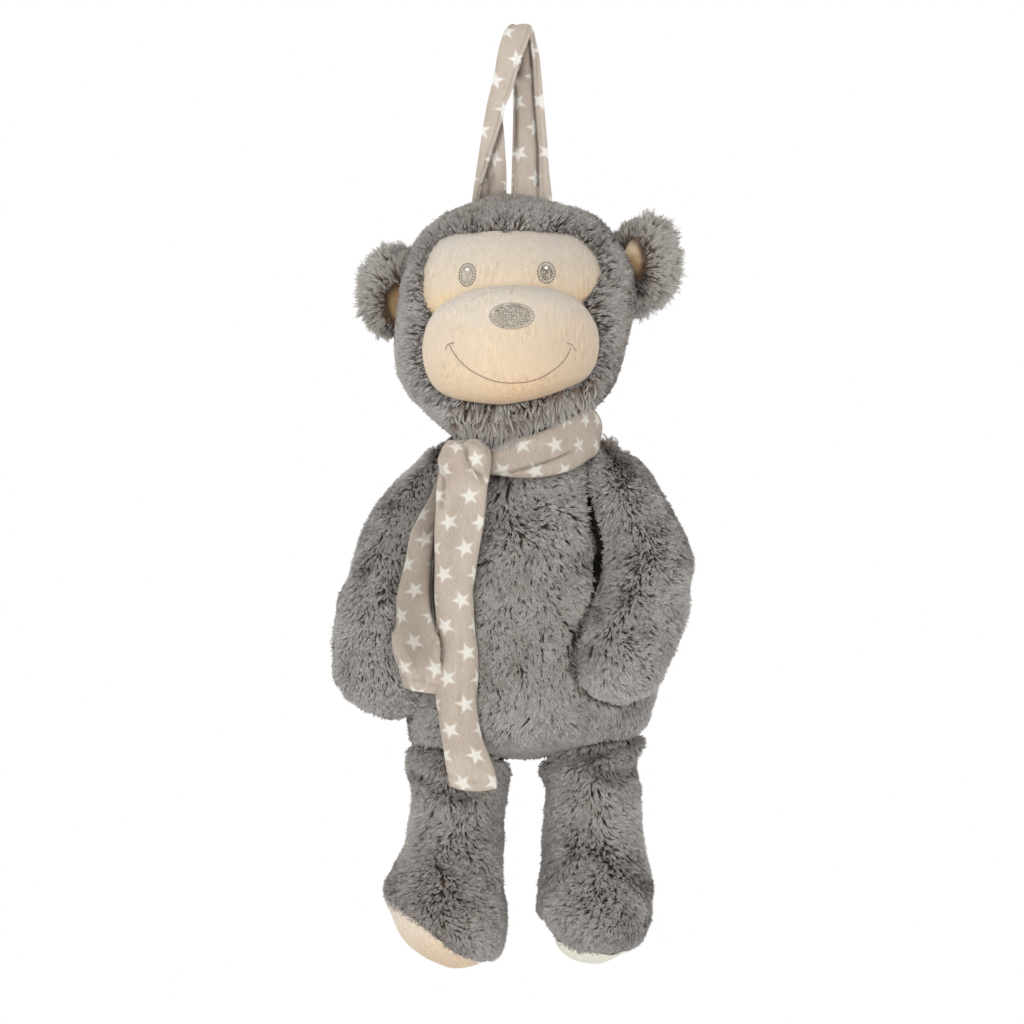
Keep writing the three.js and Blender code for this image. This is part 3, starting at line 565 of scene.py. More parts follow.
def pile(name, g, n, comb, keep, density=7.0, depth=PILE, lean=46.0, lean_vary=9.0, clump=3.2, width=0.4, seed=1, tip_pull=0.55,
         wander=0.5, reach=1.0, ragged=0.05, stop=None, shade=0.0, split=None, back=0.36, style=None, tuft=6.0, tuft_pull=0.45, tuft_wander=0.6, inset=0.75,
         long=2.4, end_pull=0.3, vary=0.13, calm=0.6, lump=0.36, lean_in=-26, thin=0.0):
    """Joined strands in clumps, each a thin triangle from its root. g, n: outer rings and normals; comb gives the way the pile lies."""
    rng = np.random.default_rng(seed)
    pts, nrm = scatter(g, n, density, rng, keep)
    stay = rng.random(len(pts)) < 1 - (1 - back) * smooth(0.1, 0.5, nrm[:, 1])
    pts, nrm = pts[stay], nrm[stay]
    pts = pts - nrm * (inset * smooth(-0.7, -0.15, nrm[:, 1]))[:, None]
    cp, cn = scatter(g, n, 1.0 / clump, rng, lambda p, q: np.ones(len(p), bool))
    cp = cp - cn * (inset * smooth(-0.7, -0.15, cn[:, 1]))[:, None]
    tree = KDTree(len(cp))
    for i, p in enumerate(cp):
        tree.insert(p, i)
    tree.balance()

    # the way each clump lies
    ct = comb(cp, cn)
    ct = unit(ct - cn * np.sum(ct * cn, 1, keepdims=True))
    swing = wander * (0.9 * noise3(cp, 26.0, seed) + 0.8 * noise3(cp, 9.0, seed + 7)) + rng.normal(0, 0.28, len(cp))
    ct = turn_about(ct, cn, swing)
    # a strand joins a clump that it lies along
    close = np.empty((len(pts), 10), np.int64)
    find_n = tree.find_n
    for i, p in enumerate(pts):
        close[i] = [h[1] for h in find_n(p, 10)]
    rel = pts[:, None, :] - cp[close]
    ahead = np.sum(rel * ct[close], -1)
    own = close[np.arange(len(pts)), np.argmin(np.sum(rel * rel, -1) - ahead * ahead * (1 - 1 / long ** 2), 1)]
    up, tight, tall, sink, tufty = style(cp, cn)
    # clumps gather into tufts
    tp, tn = scatter(g, n, 1.0 / tuft, rng, lambda p, q: np.ones(len(p), bool))
    tree = KDTree(len(tp))
    for i, p in enumerate(tp):
        tree.insert(p, i)
    tree.balance()
    find = tree.find
    home = np.fromiter((find(p)[1] for p in cp), np.int64, len(cp))
    swing = tuft_wander * (rng.normal(0, 0.45, len(tp)) + 0.8 * noise3(tp, 15.0, seed + 31))
    ct = turn_about(ct, cn, swing[home] * tufty)
    tight = tight * (1 + 0.3 * noise3(cp, 24.0, seed + 17))
    cl = np.radians(np.clip(lean * up + lean_vary * noise3(cp, 13.0, seed + 3) + rng.normal(0, 0.7 * lean_vary, len(cp)) * (1 - 0.4 * tufty)
                            + (rng.normal(0, lean_vary, len(tp))[home] * tufty), lean_in, 62))
    clen = (1 + 0.6 * ragged * noise3(cp, 16.0, seed + 5) + rng.normal(0, ragged, len(cp)) + rng.normal(0, 0.12, len(tp))[home] * tufty) * tall
    cshade = rng.normal(0, 0.09, len(cp)) * (1 - 0.4 * tufty) + 0.11 * noise3(cp, 22.0, seed + 11) + 0.10 * noise3(cp, 7.0, seed + 13) + rng.normal(0, 0.06, len(tp))[home] * tufty
    cshade = cshade * (1 - 0.55 * groomed(cn))

    def shape(p, q, t, l, length, sunk):
        base = p - q * (depth * sunk)[:, None]
        m = base + 0.66 * length[:, None] * (q * np.cos(l * 0.72)[:, None] + t * np.sin(l * 0.72)[:, None])
        return base, m + 0.34 * length[:, None] * (q * np.cos(l * 1.5)[:, None] + t * np.sin(l * 1.5)[:, None])

    clen_mm = clen * depth * sink / (0.66 * np.cos(cl * 0.72) + 0.34 * np.cos(cl * 1.5)) * reach
    cb, ce = shape(cp, cn, ct, cl, clen_mm, sink)
    # the clump nearest a tuft's middle leads it
    far = np.linalg.norm(cp - tp[home], axis=1)
    order = np.lexsort((far, home))
    first = np.unique(home[order], return_index=True)[1]
    lead = np.zeros(len(tp), np.int64)
    lead[home[order][first]] = order[first]
    ce = ce + (ce[lead[home]] - ce) * (np.clip(tuft_pull * tufty, 0, 0.85) * smooth(4.0, 2.5, far))[:, None]

    t = ct[own]
    t = unit(t - nrm * np.sum(t * nrm, 1, keepdims=True))
    t = turn_about(t, nrm, rng.normal(0, 0.16, len(pts)))
    l = cl[own] + rng.normal(0, 0.07, len(pts))
    length = clen_mm[own] * (1 + rng.normal(0, vary, len(pts)) * (1 - calm * groomed(nrm)))
    base, e = shape(pts, nrm, t, l, length, sink[own])
    off = pts - cp[own]
    off -= nrm * np.sum(off * nrm, 1, keepdims=True)
    off -= t * (0.7 * np.sum(off * t, 1, keepdims=True))
    pull = np.clip(rng.normal(1, 0.16, len(pts)), 0.4, 1.3)[:, None] * tight[own][:, None]
    # drawn in from the sides more than along, so that a lock's end tapers
    axis = unit(ce - cb)[own]
    gap = ce[own] - e
    gap -= axis * ((1 - end_pull) * np.sum(gap * axis, 1, keepdims=True))
    e = e + gap * np.clip(tip_pull * pull, 0, 0.92)

    if stop is not None:
        # strands end where they meet cloth
        for i in range(len(base)):
            d = e[i] - base[i]
            L = math.sqrt(d[0] * d[0] + d[1] * d[1] + d[2] * d[2])
            hit = stop.ray_cast(base[i], d, L + 0.6)
            if hit[0] is not None:
                f = max(0.12, (hit[3] - 0.5) / L)
                e[i] = base[i] + d * f

    d = unit(e - base)
    w = unit(np.cross(d, nrm))
    roll = rng.normal(0, 0.45, len(pts))
    w = w * np.cos(roll)[:, None] + np.cross(d, w) * np.sin(roll)[:, None]
    wide = (width * 0.5 * np.clip(rng.normal(1, 0.2, len(pts)), 0.5, 1.6) * (1 + 0.5 * smooth(0.1, 0.5, nrm[:, 1])))[:, None]
    k = len(pts)
    v = np.empty((k, 3, 3), np.float32)
    v[:, 0] = base
    v[:, 1] = e + w * wide
    v[:, 2] = e - w * wide
    r = math.sqrt(clump / math.pi / long)
    swell = np.stack([noise3(pts, 11.0, seed + 51 + i) for i in range(3)], -1)
    # faces look out of the pile
    ff = np.arange(k * 3).reshape(k, 3)
    facing = np.cross(v[:, 1] - v[:, 0], v[:, 2] - v[:, 0])
    bad = np.sum(facing * nrm, 1) < 0
    ff[bad] = ff[bad][:, ::-1]
    facing[bad] *= -1
    # round the edge to the back the coat is lit as its side is
    lit = nrm.copy()
    lit[:, 1] = np.where(nrm[:, 1] > 0, nrm[:, 1] * smooth(0.15, 0.6, nrm[:, 1]), nrm[:, 1])
    nn = unit(lit + off / r * 0.42 * tight[own][:, None] + t * 0.18 + lump * swell + rng.normal(0, 0.10, nrm.shape)
              + np.array([0, thin, 0]) * np.sign(facing[:, 1:2]))
    vn = np.repeat(nn[:, None, :], 3, 1)
    # painted light and shade: the shade function lightens or darkens each strand where its tip shows, on top of random
    # tone
    tint = np.clip(0.5 + (shade(0.4 * pts + 0.6 * e, nrm) if callable(shade) else shade) + cshade[own] + rng.normal(0, 0.06, k) + 0.07 * noise3(pts, 45.0, 5), 0.006, 0.97)
    uv = np.empty((k, 3, 2), np.float32)
    uv[:, :, 0] = tint[:, None]
    uv[:, 1, 0] += 0.004
    uv[:, 2, 0] -= 0.004
    uv[:, 0, 1] = 0.02 + 0.5 * (1 - sink[own])
    uv[:, 1:, 1] = 0.98

    made = []
    parts = [("", np.ones(k, bool))] if split is None else split(pts)
    for tail, sel in parts:
        idx = np.nonzero(sel)[0]
        if not len(idx):
            continue
        j = np.arange(len(idx))[:, None] * 3
        ob = build(name + tail, v[idx].reshape(-1, 3), ff[idx] - idx[:, None] * 3 + j, uv=uv[idx].reshape(-1, 2), uv_name="OFBake", normals=vn[idx].reshape(-1, 3))
        made.append(ob)
        BUDGET["strands"] += len(idx)
    return made


# ---------------------------------------------------------------- colours
# the dark root colours are painted shade deep in the pile
FUR = fur_material("grey_plush_pile", lin(124, 108, 98), lin(167, 160, 154), lin(191, 186, 181))
EAR_FUR = fur_material("grey_plush_pile_ears", lin(112, 96, 86), lin(163, 155, 148), lin(189, 183, 177), thin=True)
# painted shade: the backings are dark so that the gaps between the locks show as shadow
SKIN = skin_material("grey_plush_backing", lin(86, 74, 66))
EAR_SKIN = skin_material("grey_plush_backing_ears", lin(112, 99, 90))


def finish_piece(ob, node, mat):
    ob.data.materials.clear()
    ob.data.materials.append(mat)
    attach(ob, ROOT)
    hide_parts(node)
    return ob


# ---------------------------------------------------------------- cream cloth
def velboa(name, stops, streak=1.0, edge=None, across=None):
    """Short-napped cloth, coloured by level (metres, top first), with a fine upright nap."""
    m, t, b = new_material(name)
    k = Nodes(t)
    geo = k.add("ShaderNodeNewGeometry")
    pos = geo.outputs["Position"]
    fine = k.noise(k.mapping(pos, (2600, 2600, 520)), 1.0, 3, 0.6)
    blot = k.noise(pos, 70, 3, 0.55)
    warp = k.add("ShaderNodeVectorMath", operation="ADD")
    wob = k.add("ShaderNodeTexNoise")
    k.set(wob, "Vector", pos)
    k.set(wob, "Scale", 260.0)
    k.set(wob, "Detail", 2.0)
    sc = k.add("ShaderNodeVectorMath", operation="SCALE")
    k.set(sc, 0, wob.outputs["Color"])
    sc.inputs["Scale"].default_value = 0.0022
    k.set(warp, 0, pos)
    k.set(warp, 1, sc.outputs[0])
    lines = k.noise(k.mapping(warp.outputs[0], (640, 640, 130)), 1.0, 3, 0.65)
    s = k.add("ShaderNodeSeparateXYZ")
    k.set(s, 0, pos)
    top, bottom = stops[0][0], stops[-1][0]
    level = k.remap(s.outputs[2], top, bottom, 0.0, 1.0)
    level = k.math("ADD", level, k.remap(blot, 0.3, 0.7, -0.09, 0.09), clamp=True)
    col = k.ramp(level, [((z - top) / (bottom - top), c) for z, c in stops], "EASE")
    patch = k.remap(blot, 0.42, 0.62, 0.25, 1.0)
    pale = k.math("MULTIPLY", k.remap(lines, 0.50, 0.68, 0.0, 1.5 * streak), patch)
    col = k.mix(pale, col, k.mix(1.0, col, (1.11, 1.10, 1.085, 1), "MULTIPLY"))
    dim = k.math("MULTIPLY", k.remap(lines, 0.48, 0.32, 0.0, 1.4 * streak), patch)
    col = k.mix(dim, col, k.mix(1.0, col, (0.89, 0.87, 0.845, 1), "MULTIPLY"))
    col = k.mix(k.remap(fine, 0.25, 0.75, 0.2 * streak, 0.0), col, k.mix(1.0, col, (0.74, 0.72, 0.69, 1), "MULTIPLY"))
    # painted light and shade: paler on the lit side, darker on the other
    if across:
        left, right, lit_side_tint, shaded_side_tint = across
        tone = k.ramp(k.remap(s.outputs[0], left, right, 0.0, 1.0, True), [(0.0, lit_side_tint), (0.5, (1, 1, 1)), (1.0, shaded_side_tint)])
        col = k.mix(1.0, col, tone, "MULTIPLY")
    # painted shade: the 'fold' attribute darkens toward the edge colour
    if edge:
        deep = k.add("ShaderNodeAttribute", attribute_name="fold")
        col = k.mix(k.math("ADD", deep.outputs["Fac"], k.remap(lines, 0.3, 0.7, -0.12, 0.12), clamp=True), col, edge)
    k.set(b, "Base Color", col)
    k.set(b, "Roughness", k.remap(fine, 0.2, 0.8, 0.95, 0.82))
    b.inputs["Specular IOR Level"].default_value = 0.12
    b.inputs["Sheen Weight"].default_value = 0.25
    b.inputs["Sheen Roughness"].default_value = 0.45
    b.inputs["Sheen Tint"].default_value = lin(255, 248, 238)
    h = k.math("ADD", k.math("MULTIPLY", fine, 0.4), k.math("MULTIPLY", lines, 1.0))
    k.set(b, "Normal", k.bump(h, 0.8, 0.0007))
    return m


# painted light and shade across the face: paler on the left, darker on the right
FACE_PAINTED_LIGHT_AND_SHADE = (-0.0486, 0.0366, (1.06, 1.09, 1.13), (0.84, 0.84, 0.86))
BROW = velboa("brow_velboa", [(-0.1035, lin(210, 199, 185)), (-0.113, lin(216, 203, 185)), (-0.125, lin(222, 204, 180)), (-0.138, lin(232, 205, 168))], across=FACE_PAINTED_LIGHT_AND_SHADE)
# muzzle: greyer at the top, painted shade in the seam under the brow; warmer peach toward the bottom
MUZZLE_CLOTH = velboa("muzzle_velboa", [(-0.129, lin(214, 206, 192)), (-0.140, lin(221, 207, 189)), (-0.154, lin(225, 205, 179)), (-0.171, lin(227, 203, 174)), (-0.187, lin(230, 199, 163))], across=FACE_PAINTED_LIGHT_AND_SHADE)
SOLE = velboa("sole_velboa", [(-0.440, lin(234, 219, 200)), (-0.463, lin(234, 209, 180))])
# painted light: the right sole, which faces down into shade, gets a paler copy of the sole cloth
SOLE_PAINTED_LIGHT = velboa("sole_velboa_painted_light", [(-0.445, lin(249, 244, 229)), (-0.463, lin(250, 247, 232))])
# painted shade: the lining cloth turns dark brown at the levels where the cups lie in shade, and its 'fold' attribute
# darkens the rims toward the edge colour
LINING = velboa("ear_lining_velboa", [(-0.1045, lin(214, 194, 167)), (-0.1110, lin(205, 181, 150)), (-0.1170, lin(158, 130, 99)), (-0.1230, lin(118, 95, 70)), (-0.1270, lin(152, 123, 89)), (-0.1400, lin(164, 135, 99)), (-0.1500, lin(130, 103, 73))], edge=lin(74, 58, 45))


def panel_grid(rows, ahead, behind, sides, rings, fullness):
    """Rings of a panel over the head's front, from its top to its bottom, as in the table."""
    th = np.linspace(0.0, math.pi, rings + 1)
    th[0], th[-1] = 0.015, math.pi - 0.015
    a = np.arange(sides) * 2 * math.pi / sides
    top, bottom = rows[0, 0], rows[-1, 0]
    z = (top + bottom) / 2 + (top - bottom) / 2 * np.cos(th)
    mid, half = outline(rows, z)
    x = mid[:, None] + half[:, None] * np.cos(a)[None, :]
    vy = np.sin(th)[:, None] * np.sin(a)[None, :]
    d = 1 - (1 - np.minimum(1, np.abs(vy))) ** fullness
    zz = np.repeat(z[:, None], sides, 1)
    seat = front_of(FORMS["head"], x, zz) + FACE_SINK
    y = np.where(vy < 0, seat - ahead * d, seat + behind * d)
    return np.stack([x, y, zz], -1), vy


def bvh_of(*obs):
    """Tree of meshes in millimetres."""
    vs, fs, at = [], [], 0
    for o in obs:
        me = o.data
        co = np.empty(len(me.vertices) * 3, np.float32)
        me.vertices.foreach_get("co", co)
        vs.append(co.reshape(-1, 3) / MM)
        me.calc_loop_triangles()
        tri = np.empty(len(me.loop_triangles) * 3, np.int32)
        me.loop_triangles.foreach_get("vertices", tri)
        fs.append(tri.reshape(-1, 3) + at)
        at += len(me.vertices)
    return BVHTree.FromPolygons(np.concatenate(vs).tolist(), np.concatenate(fs).tolist())


# face patch: slight crown over the eyes
g, vy = panel_grid(FACE, 0.0, 2.3, 80, 48, 3)
mid, half = outline(FACE, g[..., 2])
u = (g[..., 0] - mid) / np.maximum(half, 1)
w = (g[..., 2] - FACE[0, 0]) / (FACE[-1, 0] - FACE[0, 0])
crown = np.where(vy < 0, np.clip(1 - u * u, 0, 1) ** 0.7 * np.clip(np.sin(np.pi * np.clip(w * 0.92, 0, 1)), 0, 1) ** 0.8, 0)
g[..., 1] -= 2.2 * crown
g[..., 1] += 0.35 * noise3(g, 9.0, 21) * crown
face_patch = closed_grid("face_patch_cloth", g)
finish_piece(face_patch, "face_patch", BROW)

# muzzle: stuffed pillow, fuller at the bottom, with a short dart at its top
g, vy = panel_grid(MUZZLE, MUZZLE_DOME, 1.6, 112, 64, 2.2)
front = np.clip(-vy, 0, 1)
w = (g[..., 2] - MUZZLE[0, 0]) / (MUZZLE[-1, 0] - MUZZLE[0, 0])
dart = np.exp(-((g[..., 0] + 6.0) / 1.3) ** 2) * smooth(0.24, 0.05, w) * (front > 0)
g[..., 1] += 1.3 * dart
g[..., 1] += 0.5 * noise3(g, 12.0, 31) * np.clip(front * 2, 0, 1)
muzzle = closed_grid("muzzle_cloth", g)
finish_piece(muzzle, "muzzle", MUZZLE_CLOTH)

FACE_TREE = bvh_of(face_patch, muzzle)


# ---------------------------------------------------------------- embroidery
def thread_material(name):
    m, t, b = new_material(name)
    k = Nodes(t)
    uv = k.add("ShaderNodeUVMap", uv_map="OFBake")
    s = k.add("ShaderNodeSeparateXYZ")
    k.set(s, 0, uv.outputs[0])
    col = k.ramp(s.outputs[0], [(0.0, lin(58, 51, 46)), (0.25, lin(112, 102, 93)), (0.55, lin(176, 166, 151)), (0.8, lin(214, 207, 195)), (1.0, lin(255, 255, 252))])
    # painted shade on the underside of each thread, where it lies on the cloth
    k.set(b, "Base Color", k.mix(k.remap(s.outputs[1], 0.0, 0.25, 0.35, 0.0), col, lin(70, 62, 55)))
    k.set(b, "Roughness", k.remap(s.outputs[1], 0.0, 1.0, 0.65, 0.45))
    b.inputs["Specular IOR Level"].default_value = 0.3
    b.inputs["Sheen Weight"].default_value = 0.2
    return m


THREAD = thread_material("embroidery_thread")


def on_face(x, z):
    """Point of the face's front at x, z, and its normal."""
    hit = FACE_TREE.ray_cast(Vector((x, -140.0, z)), Vector((0, 1, 0)), 200.0)
    if hit[0] is None:
        return np.array([x, -40.0, z]), np.array([0, -1.0, 0])
    n = np.array(hit[1])
    return np.array(hit[0]), n if n[1] < 0 else -n


def stitched(name, stitches):
    """Joined thread stitches: (x0, z0, x1, z1, width, shade), laid on the face."""
    vs, fs, uvs = [], [], []
    prof = ((0.0, 0.45, -0.25), (0.18, 0.95, 0.2), (0.82, 0.95, 0.2), (1.0, 0.45, -0.25))
    K = 6
    for i, (x0, z0, x1, z1, wide, shade) in enumerate(stitches):
        a, na = on_face(x0, z0)
        b, nb = on_face(x1, z1)
        d = unit(b - a)
        n = unit(na + nb)
        w = unit(np.cross(d, n))
        n = unit(np.cross(w, d))
        base = len(vs)
        for f, r, up in prof:
            c = a + (b - a) * f + n * up * wide
            for j in range(K):
                t = 2 * math.pi * j / K
                vs.append(c + (w * math.cos(t) + n * math.sin(t) * 0.8) * r * wide * 0.5)
                uvs.append((min(0.99, max(0.01, shade + (0.002 if j % 2 else -0.002))), 0.5 + 0.45 * math.sin(t)))
        for q in range(len(prof) - 1):
            for j in range(K):
                o, e = base + q * K + j, base + q * K + (j + 1) % K
                fs.append((o, e, e + K, o + K))
    ob = build(name, np.array(vs), np.array(fs, np.int32), uv=np.array(uvs), uv_name="OFBake")
    ob.data.materials.append(THREAD)
    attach(ob, ROOT)
    return ob


def ellipse(c, a, b, turn, t):
    x, z = a * math.cos(t), b * math.sin(t)
    r = math.radians(turn)
    return c[0] + x * math.cos(r) - z * math.sin(r), c[1] + x * math.sin(r) + z * math.cos(r)


rng = np.random.default_rng(5)


def eye(c, a, b, turn, middle, dark):
    out = []
    # satin fill, upright
    for x in np.arange(-a * 0.66, a * 0.66, 0.29):
        h = b * 0.74 * math.sqrt(max(0, 1 - (x / (a * 0.70)) ** 2))
        cut = rng.uniform(-0.6, 0.6) * h
        r = math.radians(turn)
        for lo, hi in ((-h, cut - 0.1), (cut + 0.1, h)):
            p0 = (c[0] + x * math.cos(r) - lo * math.sin(r), c[1] + x * math.sin(r) + lo * math.cos(r))
            p1 = (c[0] + x * math.cos(r) - hi * math.sin(r), c[1] + x * math.sin(r) + hi * math.cos(r))
            if abs(hi - lo) > 0.6:
                out.append((*p0, *p1, 0.37, float(np.clip(middle + rng.normal(0, 0.12), 0.1, 0.9))))
    # beige rim between two dark rings
    for t in np.arange(0, 2 * math.pi, 0.13):
        out.append((*ellipse(c, a * 0.74, b * 0.76, turn, t), *ellipse(c, a * 0.98, b * 0.98, turn, t + 0.05), 0.5, 0.70 + rng.normal(0, 0.06)))
    n = 22
    for i in range(n):
        t = 2 * math.pi * i / n
        out.append((*ellipse(c, a * 1.03, b * 1.03, turn, t), *ellipse(c, a * 1.03, b * 1.03, turn, t + 5.2 / n), 0.52, dark + rng.normal(0, 0.05)))
    n = 17
    for i in range(n):
        t = 2 * math.pi * (i + 0.3) / n
        out.append((*ellipse(c, a * 0.71, b * 0.74, turn, t), *ellipse(c, a * 0.71, b * 0.74, turn, t + 4.2 / n), 0.46, dark + 0.02 + rng.normal(0, 0.05)))
    # light spot
    for dx in (-0.5, -0.1, 0.3, 0.65):
        out.append((c[0] + dx - 0.1, c[1] + b * 0.30, c[0] + dx - 0.1, c[1] + b * 0.66, 0.5, 0.985))
    return out


eyes = stitched("eyes_embroidery", eye(face_point(467.1, 273.9, -49), 3.95, 5.6, -4, 0.66, 0.15)
                + eye(face_point(546.4, 272.0, -49), 4.2, 5.1, 4, 0.40, 0.12))

# nose: seed stitches inside a satin rim
c = face_point(511.9, 316.0, -61)
A, B = 10.8, 6.3
nose = []
sow = np.random.default_rng(41)
for j, z in enumerate(np.arange(-B * 0.82, B * 0.82, 0.6)):
    w = A * 0.84 * math.sqrt(max(0, 1 - (z / (B * 0.86)) ** 2))
    for x in np.arange(-w + (0.7 if j % 2 else 0.0), w - 0.3, 1.4):
        nose.append((c[0] + x, c[1] + z, c[0] + min(w, x + 1.5), c[1] + z + 0.05, 0.6, float(np.clip(0.50 + sow.normal(0, 0.07), 0.2, 0.72))))
for j, z in enumerate(np.arange(-B * 0.68, B * 0.70, 1.08)):
    w = A * 0.77 * math.sqrt(max(0, 1 - (z / (B * 0.78)) ** 2))
    for x in np.arange(-w + (0.65 if j % 2 else 0.0), w, 1.3):
        x, y, a = x + sow.normal(0, 0.16), z + sow.normal(0, 0.14), sow.uniform(0, math.pi)
        dx, dy = 0.36 * math.cos(a), 0.36 * math.sin(a)
        nose.append((c[0] + x - dx, c[1] + y - dy, c[0] + x + dx, c[1] + y + dy, 0.84, float(np.clip(0.75 + sow.normal(0, 0.08), 0.5, 0.90))))
for t in np.arange(0, 2 * math.pi, 0.055):
    nose.append((*ellipse(c, A * 0.86, B * 0.80, 0, t), *ellipse(c, A * 1.0, B * 1.0, 0, t + 0.03), 0.56, float(np.clip(0.62 + rng.normal(0, 0.09), 0.2, 0.9))))
for t in np.arange(0, 2 * math.pi, 0.1):
    nose.append((*ellipse(c, A * 1.02, B * 1.03, 0, t), *ellipse(c, A * 1.02, B * 1.03, 0, t + 0.07), 0.34, 0.25 + 0.1 * rng.random()))
# dark stitches along the inside of the rim's top: painted shadow under the raised rim
for t in np.arange(0.3, 2.75, 0.085):
    if rng.random() < 0.86:
        nose.append((*ellipse(c, A * 0.83, B * 0.78, 0, t), *ellipse(c, A * 0.83, B * 0.78, 0, t + 0.07), 0.55, 0.03 + 0.07 * rng.random()))
for t in np.arange(3.3, 6.1, 0.16):
    nose.append((*ellipse(c, A * 0.84, B * 0.80, 0, t), *ellipse(c, A * 0.84, B * 0.80, 0, t + 0.1), 0.4, 0.22 + 0.1 * rng.random()))
nose = stitched("nose_embroidery", nose)

# mouth: running stitch with a short arc at each corner
SMILE = [(448.9, 344.3), (456, 356), (467, 367.5), (481, 376), (495.3, 381.3), (510.6, 383), (528, 381.5), (541, 377.5), (553.5, 370), (564.7, 359.6), (571.3, 347.0)]
CORNERS = [[(445.6, 350), (446.5, 345.5), (449.5, 343), (454.5, 342.8)], [(566.8, 343.6), (570.5, 343.4), (573.5, 346.2), (576.6, 351.5)]]


def run(points, step, wide, shade):
    q = np.array([face_point(px, py, -58) for px, py in points])
    k = np.concatenate([[0], np.cumsum(np.linalg.norm(np.diff(q, axis=0), axis=1))])
    n = max(2, int(round(k[-1] / step)))
    t = np.linspace(0, k[-1], n * 2 + 1)
    x, z = (np.interp(t, k, q[:, i]) if len(points) < 5 else catmull(k, q[:, i], t) for i in (0, 1))
    out = []
    for i in range(n):
        a, b = 2 * i, 2 * i + 2
        out.append((x[a], z[a], x[a] + (x[b] - x[a]) * 0.93, z[a] + (z[b] - z[a]) * 0.93, wide, float(shade + rng.normal(0, 0.03))))
    return out


# the last run is a thin dark line down the dart at the muzzle's top: painted shade in its crease
mouth = stitched("mouth_embroidery", run(SMILE, 1.15, 0.52, 0.19) + sum((run(c, 1.1, 0.48, 0.24) for c in CORNERS), [])
                 + run([(513.7, 283.6), (512.6, 289.0), (511.4, 294.3)], 1.2, 0.26, 0.40))


# ---------------------------------------------------------------- ears
def ear_turn(e):
    c, s = math.cos(math.radians(-e["lean"])), math.sin(math.radians(-e["lean"]))
    ry = np.array([[c, 0, s], [0, 1, 0], [-s, 0, c]])
    c, s = math.cos(math.radians(e["yaw"])), math.sin(math.radians(e["yaw"]))
    rz = np.array([[c, -s, 0], [s, c, 0], [0, 0, 1]])
    return rz @ ry


def ball_grid(half, sides, rings):
    th = np.linspace(0.0, math.pi, rings + 1)
    th[0], th[-1] = 0.02, math.pi - 0.02
    a = np.arange(sides) * 2 * math.pi / sides
    d = np.stack([np.sin(th)[:, None] * np.cos(a), np.sin(th)[:, None] * np.sin(a), np.repeat(np.cos(th)[:, None], sides, 1)], -1)
    g = d * np.array(half)
    n = unit(d / np.array(half))
    return g, n


linings = []
for name, e in EARS.items():
    R, at = ear_turn(e), np.array(e["at"], float)
    dx, dz = e["dish"]
    g, n = ball_grid(e["half"], 40, 28)
    # the front is dished where the lining lies
    q = ((g[..., 0] - dx) / (DISH["half"][0] + 2)) ** 2 + ((g[..., 2] - dz) / (DISH["half"][2] + 2)) ** 2
    floor_y = DISH["y"] + (DISH["half"][1] + 2) * np.sqrt(np.clip(1 - q, 0, 1))
    s = g - n * 5.0
    s[..., 1] = np.where((g[..., 1] < 0) & (q < 1), np.maximum(s[..., 1], floor_y + 0.6), s[..., 1])
    skin = closed_grid(name + "_skin", s @ R.T + at)
    finish_piece(skin, name, EAR_SKIN)
    # lining: a thin cup in the dish
    m = 40
    rr = np.linspace(0.03, 0.76, 14)[:, None]
    aa = (np.arange(m) * 2 * math.pi / m)[None, :]
    x, z = dx + rr * np.cos(aa) * DISH["half"][0], dz + rr * np.sin(aa) * DISH["half"][2]
    y = DISH["y"] + DISH["half"][1] * np.sqrt(np.clip(1 - rr * rr, 0.0, 1)) + 0 * aa
    p = np.stack([x, y, z], -1)
    p[..., 1] += 0.3 * noise3(p, 6.0, 3)
    back = p + np.array([0, 1.2, 0])
    ring = np.concatenate([p, back[::-1]], 0)
    lining = closed_grid("ear_lining" + name[3:] + "_cloth", ring @ R.T + at)
    finish_piece(lining, "ear_lining" + name[3:], LINING)
    near = from_dish(x, z, e)
    # painted shade on the lining: darker toward its rim and over its lower half
    lining_painted_shade = np.clip(0.9 * smooth(0.50, 0.98, near) + 0.4 * np.clip(-np.sin(aa), 0, 1) * smooth(0.3, 0.9, near), 0, 0.93)
    a = lining.data.attributes.new("fold", "FLOAT", "POINT")
    a.data.foreach_set("value", np.concatenate([lining_painted_shade, lining_painted_shade[::-1]], 0).astype(np.float32).ravel())
    linings.append(lining)

# ---------------------------------------------------------------- star cloth
STAR_ACROSS, STAR_ALONG = 15.5, 12.85      # spacing of the print's stars


